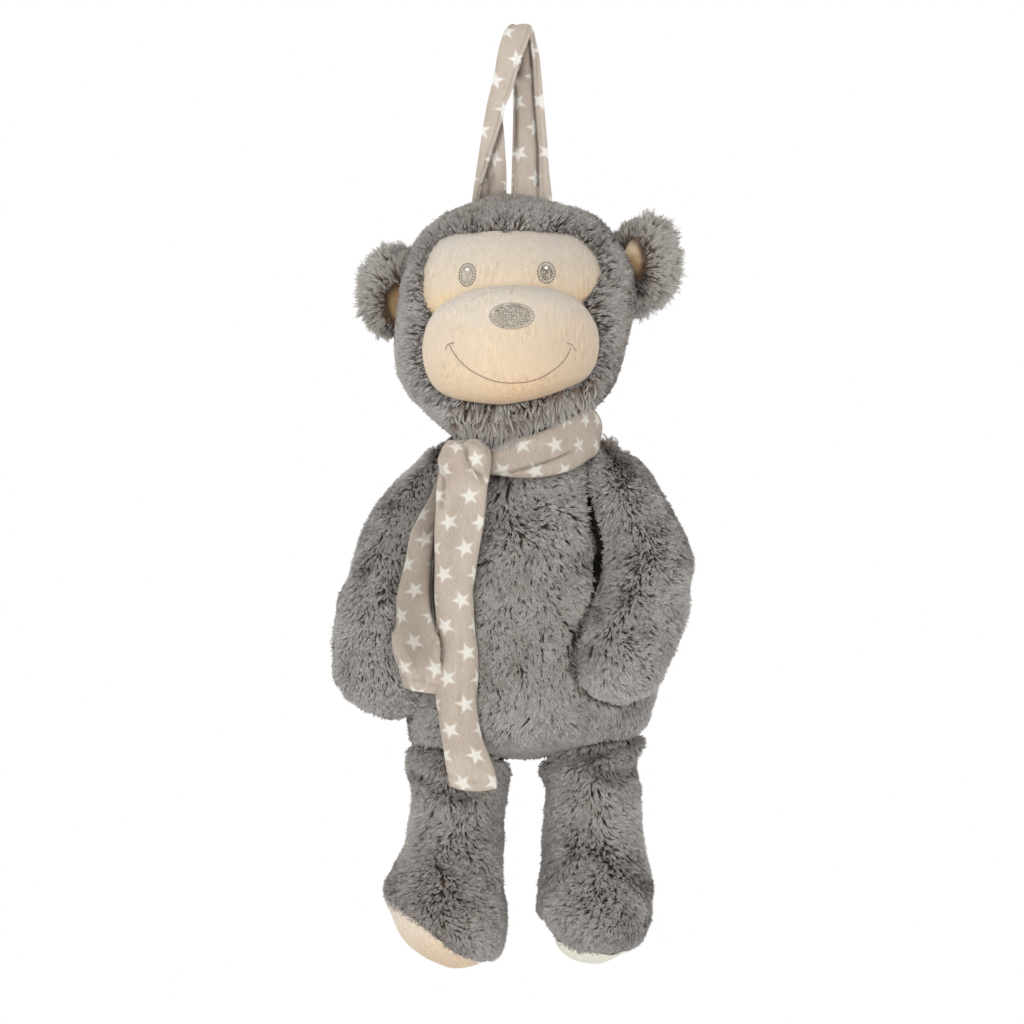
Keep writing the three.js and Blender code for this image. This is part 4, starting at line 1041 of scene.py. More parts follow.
def star_cloth(name, base, shadow, pale):
    """Fine knit with staggered five-pointed stars; the map 'cloth' is in millimetres, across and along."""
    m, t, b = new_material(name)
    k = Nodes(t)
    uv = k.add("ShaderNodeUVMap", uv_map="cloth")
    s = k.add("ShaderNodeSeparateXYZ")
    k.set(s, 0, uv.outputs[0])
    U, V = s.outputs[0], s.outputs[1]
    PU, PV, SHIFT, R, RI = STAR_ACROSS, STAR_ALONG, 9.0, 5.1, 2.25
    v = k.math("DIVIDE", V, PV)
    row = k.math("FLOOR", v)
    fv = k.math("SUBTRACT", k.math("FRACT", v), 0.5)
    odd = k.math("FLOORED_MODULO", row, 2.0)
    u = k.math("DIVIDE", k.math("ADD", U, k.math("MULTIPLY", odd, SHIFT)), PU)
    col_id = k.math("FLOOR", u)
    fu = k.math("SUBTRACT", k.math("FRACT", u), 0.5)
    comb = k.add("ShaderNodeCombineXYZ")
    k.set(comb, 0, row)
    k.set(comb, 1, col_id)
    wn = k.add("ShaderNodeTexWhiteNoise", noise_dimensions="3D")
    k.set(wn, "Vector", comb.outputs[0])
    x = k.math("MULTIPLY", fu, PU)
    y = k.math("MULTIPLY", fv, PV)
    ang = k.math("ARCTAN2", x, y)
    ang = k.math("ADD", ang, k.math("ADD", k.math("MULTIPLY", odd, math.pi + 0.35), k.math("MULTIPLY", k.math("SUBTRACT", wn.outputs[0], 0.5), 0.3)))
    ang = k.math("SUBTRACT", ang, math.pi + 0.21)
    r = k.math("SQRT", k.math("ADD", k.math("MULTIPLY", x, x), k.math("MULTIPLY", y, y)))
    turn = k.math("DIVIDE", ang, 2 * math.pi / 5)
    fold = k.math("MULTIPLY", k.math("ABSOLUTE", k.math("SUBTRACT", turn, k.math("ROUND", turn))), 2 * math.pi / 5)
    xx = k.math("MULTIPLY", r, k.math("COSINE", fold))
    yy = k.math("MULTIPLY", r, k.math("SINE", fold))
    ex, ey = RI * math.cos(math.pi / 5) - R, RI * math.sin(math.pi / 5)
    L = math.hypot(ex, ey)
    e = k.math("SUBTRACT", k.math("MULTIPLY", k.math("SUBTRACT", xx, R), ey / L), k.math("MULTIPLY", yy, ex / L))
    rib = k.noise(k.mapping(uv.outputs[0], (1.25, 0.06, 1)), 1.0, 2, 0.5)
    knit = k.noise(k.mapping(uv.outputs[0], (2.6, 1.5, 1)), 1.0, 2, 0.6)
    heather = k.noise(k.mapping(uv.outputs[0], (1.1, 0.34, 1)), 1.0, 3, 0.6)
    star = k.remap(k.math("ADD", e, k.math("MULTIPLY", k.math("SUBTRACT", knit, 0.5), 0.9)), -0.75, 0.40, 1.0, 0.0, True)
    blot = k.noise(k.mapping(uv.outputs[0], (0.06, 0.06, 1)), 1.0, 3, 0.5)
    ground = k.mix(k.remap(blot, 0.3, 0.7, 0, 1, True), base, shadow)
    ground = k.mix(k.remap(rib, 0.3, 0.7, 0.0, 0.5), ground, tuple(c * 0.84 for c in shadow[:3]) + (1,))
    ground = k.mix(k.remap(heather, 0.40, 0.66, 0.0, 0.30), ground, lin(214, 200, 184))
    ground = k.mix(k.remap(knit, 0.3, 0.75, 0.0, 0.16), ground, lin(230, 220, 206))
    white = k.mix(k.remap(rib, 0.3, 0.75, 0.0, 0.22), pale, ground)
    col = k.mix(k.math("MULTIPLY", star, 0.95), ground, white)
    # painted shade: deep folds and other shaded places, as given by the 'fold' attribute, keep less light
    deep = k.add("ShaderNodeAttribute", attribute_name="fold")
    col = k.mix(deep.outputs["Fac"], col, k.mix(1.0, col, (0.10, 0.075, 0.06, 1), "MULTIPLY"))
    k.set(b, "Base Color", col)
    k.set(b, "Roughness", k.remap(knit, 0.2, 0.8, 0.95, 0.80))
    b.inputs["Specular IOR Level"].default_value = 0.15
    b.inputs["Sheen Weight"].default_value = 0.3
    b.inputs["Sheen Roughness"].default_value = 0.4
    b.inputs["Sheen Tint"].default_value = lin(250, 243, 232)
    h = k.math("ADD", k.math("MULTIPLY", rib, 0.8), k.math("MULTIPLY", knit, 0.5))
    k.set(b, "Normal", k.bump(h, 0.3, 0.0004))
    return m


CLOTH = star_cloth("star_print_knit", lin(193, 180, 166), lin(176, 161, 146), lin(231, 227, 218))
# painted light: the loop's copy of the same print is lighter
LOOP_CLOTH = star_cloth("star_print_knit_loop", lin(203, 191, 178), lin(190, 175, 161), lin(244, 242, 236))


def spline(points, n):
    """Even samples of a centripetal curve through points, with their distances along it."""
    p = np.asarray(points, float)
    d = np.linalg.norm(np.diff(p, axis=0), axis=1) ** 0.5
    k = np.concatenate([[0], np.cumsum(d)])
    t = np.linspace(0, k[-1], n * 6)
    q = np.stack([catmull(k, p[:, i], t) for i in range(p.shape[1])], -1)
    s = np.concatenate([[0], np.cumsum(np.linalg.norm(np.diff(q[:, :3], axis=0), axis=1))])
    at = np.linspace(0, s[-1], n)
    return np.stack([np.interp(at, s, q[:, i]) for i in range(p.shape[1])], -1), at


def band(path, half, flat, thick, at, bend, across=24, start=0.0, side_of=None, hem=True):
    """Rings round a flat band of doubled cloth, and its map in millimetres. bend(u, s) pushes the band along its face."""
    n = len(path)
    tan = unit(np.gradient(path, axis=0))
    if side_of is None:
        side = np.tile(np.array([1.0, 0, 0]), (n, 1))
    else:
        side = side_of
    side = unit(side - tan * np.sum(side * tan, 1, keepdims=True))
    face = unit(np.cross(tan, side))
    u = np.linspace(-1, 1, across + 1)
    edge = np.sqrt(np.clip(1 - np.abs(u) ** 6, 0, 1))
    prof_u = np.concatenate([u, u[::-1][1:-1]])
    prof_e = np.concatenate([edge, -edge[::-1][1:-1]])
    g = np.empty((n, len(prof_u), 3))
    uv = np.empty((n, len(prof_u), 2))
    b = bend(prof_u[None, :], at[:, None])
    for j in range(len(prof_u)):
        g[:, j] = path + side * (half * prof_u[j])[:, None] + face * (thick * 0.5 * prof_e[j] + b[:, j])[:, None]
        uv[:, j, 0] = prof_u[j] * flat / 2 + (0 if j <= across else 40.0)
        uv[:, j, 1] = at + start
    return g, uv, face


def ringed(g, uv):
    r, c = g.shape[:2]
    caps = [np.arange(c)[::-1][None, :], (np.arange(c) + (r - 1) * c)[None, :]]
    return g.reshape(-1, 3), [grid_faces(r, c)] + caps, uv.reshape(-1, 2)


def join(name, parts):
    vs, qs, uvs, caps, folds, at = [], [], [], [], [], 0
    for v, f, uv, fold in parts:
        vs.append(v)
        uvs.append(uv)
        folds.append(fold.ravel())
        qs.append(f[0] + at)
        caps += [c + at for c in f[1:]]
        at += len(v)
    return build(name, np.concatenate(vs), [np.concatenate(qs)] + caps, uv=np.concatenate(uvs), fold=np.concatenate(folds))


def creased(g, n, lines):
    """Dents rings along lines drawn in the picture, and gives each point the painted shade of its crease. line: points,
    width, depth (mm), darkness.
    """
    dark = np.zeros(g.shape[:2])
    move = np.zeros(g.shape[:2])
    shown = smooth(0.05, -0.35, n[..., 1])
    for points, wide, depth, shade in lines:
        d = np.exp(-(from_line(g, points) / wide) ** 2) * shown
        move = move - depth * d
        dark = np.maximum(dark, shade * d)
    return g + n * move[..., None], dark


FLAT = 12.0                                # half the width of the scarf's strip
_t = np.linspace(1e-3, 0.5 * math.pi, 200)
_sinc = np.sin(_t) / _t


def hung_tail(rows, steps, across, thick, first, shift, wave, hem):
    """A strip of doubled cloth seen edge to edge in the picture; where it shows narrower than it is, its edges curl back."""
    py, xl, xr, dep, turn = rows.T
    lx, z = face_point(xl, py, dep)
    rx, _ = face_point(xr, py, dep)
    path = np.stack([(lx + rx) / 2, dep, z, (rx - lx) / 2, turn, py], -1)
    q, at = spline(path, steps)
    h = q[:, 3]
    t = np.interp(-np.clip(h / FLAT, _sinc[-1], _sinc[0]), -_sinc, _t)
    R = FLAT / t
    scale = np.where(h > FLAT, h / FLAT, np.minimum(1.0, h / (FLAT * _sinc[-1])))
    u = np.linspace(-1, 1, across + 1)
    rim = np.sqrt(np.clip(1 - np.abs(u) ** 8, 0, 1))
    pu = np.concatenate([u, u[::-1][1:-1]])
    pe = np.concatenate([rim, -rim[::-1][1:-1]])
    a = pu[None, :] * t[:, None]
    lx = R[:, None] * np.sin(a) * scale[:, None]
    ly = R[:, None] * (1 - np.cos(a)) * np.minimum(scale, 1.0)[:, None]
    nx, ny = np.sin(a), -np.cos(a)                 # out of the front
    end = np.maximum(smooth(7.0, 0.0, at), smooth(at[-1] - 5.0, at[-1], at))[:, None]
    bulge = wave(pu[None, :], at[:, None], q[:, 5:6])
    lx = lx + nx * (pe[None, :] * thick / 2 * (1 - 0.45 * end) + bulge)
    ly = ly + ny * (pe[None, :] * thick / 2 * (1 - 0.45 * end) + bulge)
    c, s_ = np.cos(np.radians(q[:, 4]))[:, None], np.sin(np.radians(q[:, 4]))[:, None]
    g = np.empty((steps, len(pu), 3))
    g[..., 0] = q[:, 0:1] + lx * c + ly * s_
    g[..., 1] = q[:, 1:2] + ly * c - lx * s_
    g[..., 2] = q[:, 2:3] + hem(pu)[None, :] * smooth(at[-1] - 16, at[-1], at)[:, None]
    v0 = np.interp(first, q[:, 5], at)
    uv = np.empty((steps, len(pu), 2))
    uv[..., 0] = pu[None, :] * FLAT + shift + np.where(pe < 0, 4 * STAR_ACROSS, 0)[None, :]
    uv[..., 1] = (at - v0)[:, None] + 0.5 * STAR_ALONG
    uv[..., 0] += 5.2 * smooth(487, 472, q[:, 5:6])        # gathered under the knot
    return g, uv


def long_wave(u, s, py):
    w = 0.55 * np.sin(s / 17.0 + 2.2 * u) * (1 - u * u) + 0.35 * np.sin(s / 7.5 - 3 * u)
    w = w + 1.5 * np.exp(-((u + 0.62) / 0.10) ** 2) * smooth(500, 488, py) * smooth(458, 468, py)       # turned edge below the knot
    w = w - 1.0 * np.exp(-((u + 0.45) / 0.12) ** 2) * smooth(500, 488, py) * smooth(458, 468, py)
    w = w + 1.8 * np.exp(-((u - (py - 471) / 13.0 + 0.05) / 0.20) ** 2) * smooth(489, 483, py) * smooth(466, 472, py) * (u > 0.05)   # ridge under the knot
    return w


def short_wave(u, s, py):
    w = 0.7 * np.sin(s / 15.0 + 1.8 * u) * (1 - u * u) + 0.3 * np.sin(s / 6.0 + 4 * u)
    w = w + 1.6 * np.exp(-((u + 0.75 - (py - 655) / 60.0) / 0.16) ** 2) * smooth(640, 655, py)          # soft ridge down to the hem
    w = w - 1.2 * np.exp(-((u + 0.38 - (py - 655) / 60.0) / 0.20) ** 2) * smooth(630, 650, py)
    w = w - 1.3 * np.exp(-((u - 0.2) / 0.3) ** 2) * np.exp(-((py - 548) / 16.0) ** 2)                   # hollow
    return w


g1, uv1 = hung_tail(LONG_TAIL, 130, 26, 2.4, 496.0, 3.75, long_wave, lambda u: -2.2 * (1 - u * u) - 0.5 * u)
g2, uv2 = hung_tail(SHORT_TAIL, 90, 24, 2.4, 616.0, -0.85, short_wave, lambda u: -2.3 * u - 0.8 * (1 - u * u))

# neck band, with a lap along its front
N, across = 150, 30
turns = np.linspace(0, 2 * math.pi, N + 1)[:-1]
deg = np.degrees(turns)
zc = catmull(BAND_ROWS[:, 0], BAND_ROWS[:, 1], deg)
hh = catmull(BAND_ROWS[:, 0], BAND_ROWS[:, 2], deg)
lap = np.interp(deg, [240, 258, 270, 282, 295, 308, 320], [-0.9, -0.77, -0.5, -0.34, -0.34, -0.36, -0.3])
lap_on = smooth(240, 256, deg) * smooth(322, 306, deg)
u = np.linspace(-1, 1, across + 1)
rim = np.sqrt(np.clip(1 - np.abs(u) ** 6, 0, 1))
pu = np.concatenate([u, u[::-1][1:-1]])
pe = np.concatenate([rim, -rim[::-1][1:-1]])
ring = np.empty((N, len(pu), 3))
ruv = np.empty((N, len(pu), 2))
arc = np.concatenate([[0], np.cumsum(np.hypot(np.diff(BAND["wide"] * np.cos(turns)), np.diff(BAND["deep"] * np.sin(turns))))])
for j, (a, b) in enumerate(zip(pu, pe)):
    fold = 0.7 * np.sin(a * 2.6 + 1.1 * np.sin(turns * 2 + 0.5)) + 0.35 * np.sin(a * 5 + turns * 5)
    fold = fold + 0.5 * np.sin(turns * 9 + 2.0 * a)
    step = lap_on * (1.5 * smooth(-0.03, 0.05, a - lap) - 0.9 * np.exp(-((a - lap + 0.05) / 0.06) ** 2) - 0.6 * smooth(0.0, -0.5, a - lap))
    out = 1.3 * b + (fold + step) * (1 if b >= 0 else 0.5) - 2.0 * abs(a) ** 4 * (1 - 0.6 * smooth(0.3, 0.8, np.cos(turns))) + 1.2
    out = out + 9.0 * np.exp(-((deg - 235) / 12.0) ** 2)
    cone = -4.6 * (0.5 + 0.5 * a) * smooth(0.2, 0.95, np.cos(turns)) - 1.6 * smooth(0.2, 0.9, np.cos(turns)) - 2.6 * smooth(-0.5, -1.0, np.cos(turns))
    ring[:, j, 0] = BAND["x"] + (BAND["wide"] + out + cone) * np.cos(turns)
    ring[:, j, 1] = BAND["y"] + (BAND["deep"] + out) * np.sin(turns)
    ring[:, j, 2] = zc + hh * a
    ruv[:, j, 0] = arc - np.interp(270.4, deg, arc) + 0.5 * STAR_ACROSS
    ruv[:, j, 1] = -(ring[:, j, 2] + 207.5) + 0.5 * STAR_ALONG + (0 if b >= 0 else 4 * STAR_ALONG)
r, c = ring.shape[:2]
i, j = np.arange(r)[:, None], np.arange(c)[None, :]
torus = np.stack([i * c + j, ((i + 1) % r) * c + j, ((i + 1) % r) * c + (j + 1) % c, i * c + (j + 1) % c], -1).reshape(-1, 4)

# knot: a leaf of cloth over the band
kr = KNOT_ROWS.copy()
x0, kz = face_point(kr[:, 1], kr[:, 0], -55)
x1, _ = face_point(kr[:, 2], kr[:, 0], -55)
KNOT = np.stack([kz, x0, x1, kr[:, 3], kr[:, 4]], -1)
kg, kn = form_grid(KNOT, 64, 40)
ku = (kg[..., 0] + 24.0) / 7.5
kg = kg + kn * (0.5 * noise3(kg, 7.0, 9) + 0.5 * np.sin(ku * 2.5 + kg[..., 2] * 0.25))[..., None] * smooth(0.0, -0.6, kn[..., 1])[..., None]
x, z = face_point(475.8, 459.0, -57)
kuv = np.stack([(kg[..., 0] - x) + 0.5 * STAR_ACROSS, -(kg[..., 2] - z) + 0.5 * STAR_ALONG], -1)
kcap = [np.arange(64)[None, :], (np.arange(64)[::-1] + 40 * 64)[None, :]]
def outward(g):
    n = grid_normals(g)
    n[0], n[-1] = n[1], n[-2]
    mid = g.mean(1, keepdims=True)
    if np.mean(np.sum(n * (g - mid), -1)) < 0:
        n = -n
    return n


# fold lines: points, width, dent depth (mm) and darkness of painted shade; lines with no dent are painted shade only,
# as over the short tail's upper part, which lies in shade behind the long tail
LONG_FOLDS = [
    ([(441, 466), (443.5, 478), (443, 492), (441, 508)], 2.4, 0.7, 0.42),
    ([(456, 500), (452, 530), (449, 570)], 5.0, 0.5, 0.10),
    ([(463, 640), (459, 690), (462, 730)], 4.0, 0.6, 0.10),
    ([(449, 776), (473, 783), (497, 779)], 1.0, 0.35, 0.16),
]
SHORT_FOLDS = [
    ([(437, 528), (434, 560), (432.5, 590), (433.5, 612), (439, 632)], 3.4, 0.8, 0.9),
    ([(436, 524), (427, 538), (420, 545)], 2.2, 0.9, 0.5),
    ([(440, 470), (432, 505), (426, 532)], 15.0, 0.0, 0.56),
    ([(425, 545), (416, 580), (411, 618), (416, 648)], 22.0, 0.0, 0.36),
    ([(434, 600), (437, 622), (436, 648)], 7.0, 0.0, 0.22),
    ([(430, 640), (424, 660), (422, 680)], 4.0, 0.7, 0.16),
    ([(398, 676), (418, 681), (438, 687)], 1.2, 0.4, 0.22),
]
BAND_FOLDS = [
    ([(508, 474), (517, 471), (540, 464.4), (556, 458.5), (572, 451)], 1.0, 0.5, 0.6),
    ([(492, 452), (491, 462), (489, 474)], 2.6, 0.5, 0.5),
    ([(594, 420), (600, 436), (601, 452)], 4.0, 0.6, 0.18),
]
KNOT_FOLDS = [
    ([(464, 449), (463.5, 457), (465, 466), (470.5, 473), (480, 477)], 3.4, 1.8, 0.40),
    ([(464.5, 452), (465.5, 463), (471, 471.5)], 1.6, 0.6, 0.5),
    ([(472, 441), (481, 446), (487, 454)], 2.0, 0.5, 0.12),
]
g1, d1 = creased(g1, outward(g1), LONG_FOLDS)
g2, d2 = creased(g2, outward(g2), SHORT_FOLDS)
radial = unit((ring - np.stack([np.full(N, BAND["x"]), np.full(N, BAND["y"]), zc], -1)[:, None, :]) * np.array([1, 1, 0.0]))
ring, d3 = creased(ring, radial, BAND_FOLDS)
# painted shade over the whole band
d3 = np.maximum(d3, 0.13)
kg, d4 = creased(kg, kn, KNOT_FOLDS)
scarf = join("scarf_cloth", [
    ringed(g1, uv1) + (d1,), ringed(g2, uv2) + (d2,), (ring.reshape(-1, 3), [torus], ruv.reshape(-1, 2), d3),
    (kg.reshape(-1, 3), [grid_faces(*kg.shape[:2])] + kcap, kuv.reshape(-1, 2), d4),
])
finish_piece(scarf, "scarf", CLOTH)

# hang loop: one strap whose long edges turn in, behind on the left side and ahead on the right
py, xl, xr, dep, tl, tr = LOOP.T
lx, z = face_point(xl, py, dep)
rx, _ = face_point(xr, py, dep)
q, at = spline(np.stack([(lx + rx) / 2, dep, z, (rx - lx) / 2, tl, tr, py], -1), 124)
tan = unit(np.gradient(q[:, :3], axis=0))
side = np.tile(np.array([1.0, 0, 0]), (len(q), 1))
side = unit(side - tan * np.sum(side * tan, 1, keepdims=True))
face = unit(np.cross(tan, side))
n1, n2, n3 = 9, 6, 18
cl = np.empty((len(q), 2 * (n1 + n2) + n3, 2))
for i, (h, wl, wr) in enumerate(q[:, 3:6]):
    rl, rr = min(1.5, 0.45 * wl), min(1.3, 0.3 * wr)
    t = np.linspace(0, 1, n1)
    a1 = np.linspace(math.pi / 2, 1.5 * math.pi, n2 + 2)[1:-1]
    left = np.stack([-h + rl + (wl - rl) * (1 - t), np.full(n1, 2 * rl) + 0.5 * (1 - t) * min(1, wl / 8)], -1)
    turn_l = np.stack([-h + rl + rl * np.cos(a1), rl + rl * np.sin(a1)], -1)
    u = np.linspace(-1, 1, n3)
    main = np.stack([u * (h - max(rl, rr)) + (rl - rr) / 2, -0.35 * np.sin(u * 2.2 + q[i, 2] * 0.10) * (1 - u * u)], -1)
    a2 = np.linspace(-math.pi / 2, math.pi / 2, n2 + 2)[1:-1]
    turn_r = np.stack([h - rr + rr * np.cos(a2), rr + rr * np.sin(a2)], -1)
    right = np.stack([h - rr - (wr - rr) * t, np.full(n1, 2 * rr) + 0.6 * t * min(1, wr / 5)], -1)
    cl[i] = np.concatenate([left, turn_l, main, turn_r, right])
du = np.gradient(cl, axis=1)
nn = unit(np.stack([-du[..., 1], du[..., 0]], -1))
arc = np.concatenate([np.zeros((len(q), 1)), np.cumsum(np.linalg.norm(np.diff(cl, axis=1), axis=-1), 1)], 1)
edge = np.minimum(arc, arc[:, -1:] - arc)
half = 0.75 + 0.18 * smooth(1.7, 0.9, edge) - 0.40 * np.exp(-((edge - 1.9) / 0.45) ** 2) - 0.5 * smooth(0.5, 0.0, edge)
mid = arc - arc[:, n1 + n2 + n3 // 2][:, None]
outer, inner = cl + nn * half[..., None], cl - nn * half[..., None]
prof = np.concatenate([outer, inner[:, ::-1]], 1)
g = q[:, None, :3] + side[:, None, :] * prof[..., 0:1] + face[:, None, :] * prof[..., 1:2]
uv = np.stack([np.concatenate([mid, mid[:, ::-1] + 4 * STAR_ACROSS], 1) + 4.5, np.repeat(at[:, None], prof.shape[1], 1) + 0.6], -1)
# painted shade along the groove inside each hem, and painted shadow inside the loop's top, beside its hems and along
# its turned edges
dark = 0.18 * np.exp(-((edge - 1.9) / 0.5) ** 2)
dark = np.concatenate([dark, dark[:, ::-1]], 1)
px = picture_place(g)
right_side = (np.arange(len(q)) > len(q) * 0.56)[:, None]
left_side = ~right_side
for pts, wide, shade, on in (([(521.5, 40), (519, 58), (517.5, 74)], 6.0, 0.85, right_side), ([(529, 38), (531, 60), (533.5, 95), (535.5, 122), (537.5, 150), (538, 185)], 1.8, 0.75, right_side),
                             ([(516, 86), (516.5, 115), (516, 150)], 2.2, 0.7, right_side), ([(484, 182), (490, 164), (496, 146), (503, 124)], 2.6, 0.75, left_side & (prof[..., 1] > 0.8)),
                             ([(486, 200), (489, 188), (492, 176)], 3.0, 0.6, left_side & (prof[..., 1] > 0.8))):
    dark = np.maximum(dark, shade * np.exp(-(from_line(g, pts) / wide) ** 2) * on)
v, f, m2 = ringed(g, uv)
hang_loop = build("hang_loop_cloth", v, f, uv=m2, fold=dark)
finish_piece(hang_loop, "hang_loop", LOOP_CLOTH)

# carrying straps
straps = []
for name, sign in (("left", -1), ("right", 1)):
    pts = STRAP.copy()
    pts[:, 0] = ZIP["x"] + sign * pts[:, 0]
    p, at = spline(pts, 84)
    g, uv, _ = band(p, np.full(len(p), 11.0), 22.0, 2.6, at, lambda u, s: 0.5 * np.sin(s / 9.0 + u) * (1 - u * u), start=5.0 + 7 * sign)
    v, f, m2 = ringed(g, uv)
    strap = build("shoulder_strap_%s_cloth" % name, v, f, uv=m2)
    finish_piece(strap, "shoulder_strap_" + name, CLOTH)
    straps.append(strap)

# ---------------------------------------------------------------- plush bodies
CLOTH_TREE = bvh_of(scarf, hang_loop, *straps)
HEAD_TREE = bvh_of(hang_loop)
GRIDS = {k: form_grid(v, 120, 110) for k, v in FORMS.items()}


def dent(name, amount):
    """Moves a form along its normals and works the normals out again."""
    g, n = GRIDS[name]
    g = g + n * amount(g, n)[..., None]
    m = grid_normals(g)
    m[np.sum(m * n, -1) < 0] *= -1
    GRIDS[name] = (g, m)


def front_only(n):
    return smooth(0.15, -0.25, n[..., 1])


dent("torso_bag", lambda g, n: -9.0 * np.exp(-(from_line(g, ARMPIT) / 1.15) ** 2) * front_only(n))
for leg, folds in LEG_FOLDS.items():
    for fold in folds:
        dent(leg, lambda g, n, fold=fold: (-3.2 * np.exp(-(from_line(g, fold) / 4.5) ** 2) + 1.4 * np.exp(-((from_line(g, fold) - 13) / 7.0) ** 2)) * smooth(-0.05, -0.6, n[..., 1]))


def sole_depth(name, p):
    """How far points lie beyond a sole's seam."""
    s = SOLES[name]
    d = (p - np.array(s["at"], float)) @ unit(np.array(s["facing"], float))
    for a, b, mm in s["rise"]:
        d = d + mm * smooth(a, b, p[..., 0])
    return d


skins = {}
for name, (g, n) in GRIDS.items():
    s = g - n * np.minimum(PILE, 0.55 * np.minimum(*section(FORMS[name], g[:, 0, 2])[2:]))[:, None, None]
    s[..., 2] = np.clip(s[..., 2], FORMS[name][-1, 0] + 3.0, FORMS[name][0, 0] - 3.0)
    if name in SOLES:
        s = s - unit(np.array(SOLES[name]["facing"], float)) * np.maximum(0, sole_depth(name, s) + 1.5)[..., None]
    s = s[::3, ::3] if (len(s) - 1) % 3 == 0 else s[::2, ::3]
    label = "torso_skin" if name == "torso_bag" else name + "_skin"
    ob = closed_grid(label, s)
    finish_piece(ob, name, SKIN)
    skins[name] = ob


# soles: the cloth cap under each foot
for name in ("leg_left", "leg_right"):
    g, n = GRIDS[name]
    f = unit(np.array(SOLES[name]["facing"], float))
    d = sole_depth(name, g)
    lift = np.maximum(0, -d)
    cap = g + f * lift[..., None]          # everything above the seam is pressed onto it
    keep = (d > 0)
    cap = cap - n * 1.0
    q = grid_faces(*g.shape[:2])
    ok = keep.reshape(-1)[q].any(1)
    used = np.unique(q[ok])
    remap = np.full(g.shape[0] * g.shape[1], -1)
    remap[used] = np.arange(len(used))
    cap_face = [remap[q[ok]]]
    ring = (np.arange(g.shape[1])[::-1] + (g.shape[0] - 1) * g.shape[1])
    if (remap[ring] >= 0).all():
        cap_face.append(remap[ring][None, :])
    ob = build("sole" + name[3:] + "_cloth", cap.reshape(-1, 3)[used], cap_face)
    finish_piece(ob, "sole" + name[3:], SOLE if name == "leg_left" else SOLE_PAINTED_LIGHT)


def comb_head(p, n):
    away = p - np.array([-6.0, -70.0, -146.0])
    down = np.array([0, 0, -1.0])
    back = smooth(-10, 30, p[:, 1])[:, None]
    return unit(away) * (1 - 0.75 * back) + down * back * 0.9


def comb_torso(p, n):
    away = (p - np.array([-8.0, -60.0, -250.0])) * np.array([1.0, 0.3, 1.0])
    front = smooth(5, -25, p[:, 1])[:, None]
    return unit(away) * 0.75 * front + np.array([0, 0, -1.0])


def comb_limb(axis_x, spread):
    def f(p, n):
        side = (p[:, 0] - axis_x + 9 * noise3(p, 22.0, 77))[:, None] * np.array([1.0, 0, 0]) * spread
        return np.array([0, 0.15, -0.75]) + side
    return f


# the seam round the face
seam = []
for rows, other in ((FACE, MUZZLE), (MUZZLE, FACE)):
    z = np.linspace(rows[0, 0], rows[-1, 0], 160)
    mid, half = outline(rows, z)
    for x in (mid - half, mid + half):
        ok = ~in_outline(other, x, z)
        seam.append(np.stack([x[ok], z[ok]], -1))
seam = np.concatenate(seam)
SEAM_TREE = KDTree(len(seam))
for i, (x, z) in enumerate(seam):
    SEAM_TREE.insert((x, 0, z), i)
SEAM_TREE.balance()


def from_seam(p):
    d = np.fromiter((SEAM_TREE.find((q[0], 0, q[2]))[2] for q in p), float, len(p))
    return np.where(p[:, 1] < 0, d, 99.0)


def groomed(n):
    """Pile is smoother where it turns away from the front."""
    return smooth(-0.82, -0.35, n[:, 1])


def ruffled(name, p, n):
    r = sum(a * in_patch(p, x, y, rx, ry) for x, y, rx, ry, a in RUFFLES[name])
    return np.clip(r, 0, 1.2) * front_only(n)


def style_limb(name):
    def f(p, n):
        away = groomed(n)
        r = ruffled(name, p, n)
        one = np.ones(len(p))
        return (1 + 0.12 * away) * (1 - 0.12 * r), (1 - 0.7 * away) * (0.92 + 0.16 * r), one - 0.06 * away, one, np.maximum(0.25 * (1 - away), 0.9 * np.minimum(r, 1))
    return f


def style_torso(p, n):
    up, tight, tall, sink, tufty = style_limb("torso_bag")(p, n)
    return up, tight * (1 - 0.38 * smooth(-262, -300, p[:, 2])), tall, sink, tufty


def dim(name, p, n):
    # painted shade where the pile is ruffled
    return -0.055 * ruffled(name, p, n)


def style_head(p, n):
    away = groomed(n)
    seam_d = from_seam(p)
    d = seam_d + 1.5 * noise3(p, 5.0, 41)
    chin = smooth(-184, -191, p[:, 2]) * smooth(-4, -16, p[:, 1])
    r = ruffled("head", p, n)
    up = (-0.22 + 1.22 * smooth(-0.5, 8.0, d)) * (1 + 0.12 * away)
    up = (up + (1.0 + 0.1 * away - up) * chin * 0.85) * (1 - 0.3 * r)
    near = smooth(13.0, 3.0, seam_d) * (1 - 0.5 * away)
    tufty = 0.10 + 0.90 * np.maximum(np.maximum(near, chin * (1 - 0.7 * away)), r)
    tall = (1 - 0.10 * away) * (1 + 0.30 * near) * (1 + 0.55 * chin * (1 - away))
    return up, (1 - 0.92 * away) * (1 + 0.15 * chin), tall, (0.45 + 0.55 * smooth(0.0, 4.5, seam_d)) * (1 - 0.35 * chin), np.minimum(tufty, 1)


def shade_head(p, n):
    # painted light and shade: lighter by the face's seam, on the chin and its left part; darker on the sides, more on
    # the right, on top and where ruffled
    chin = smooth(-184, -191, p[:, 2]) * smooth(-4, -16, p[:, 1])
    side = groomed(n) * (0.12 + 0.18 * smooth(0.0, 0.6, n[:, 0])) * (1 - 0.5 * chin)
    return 0.06 * smooth(6.0, 1.0, from_seam(p)) - side - 0.10 * smooth(0.2, 0.6, n[:, 2]) - 0.02 + 0.10 * chin + 0.2 * in_patch(p, 466, 415, 26, 16) * front_only(n) + dim("head", p, n)


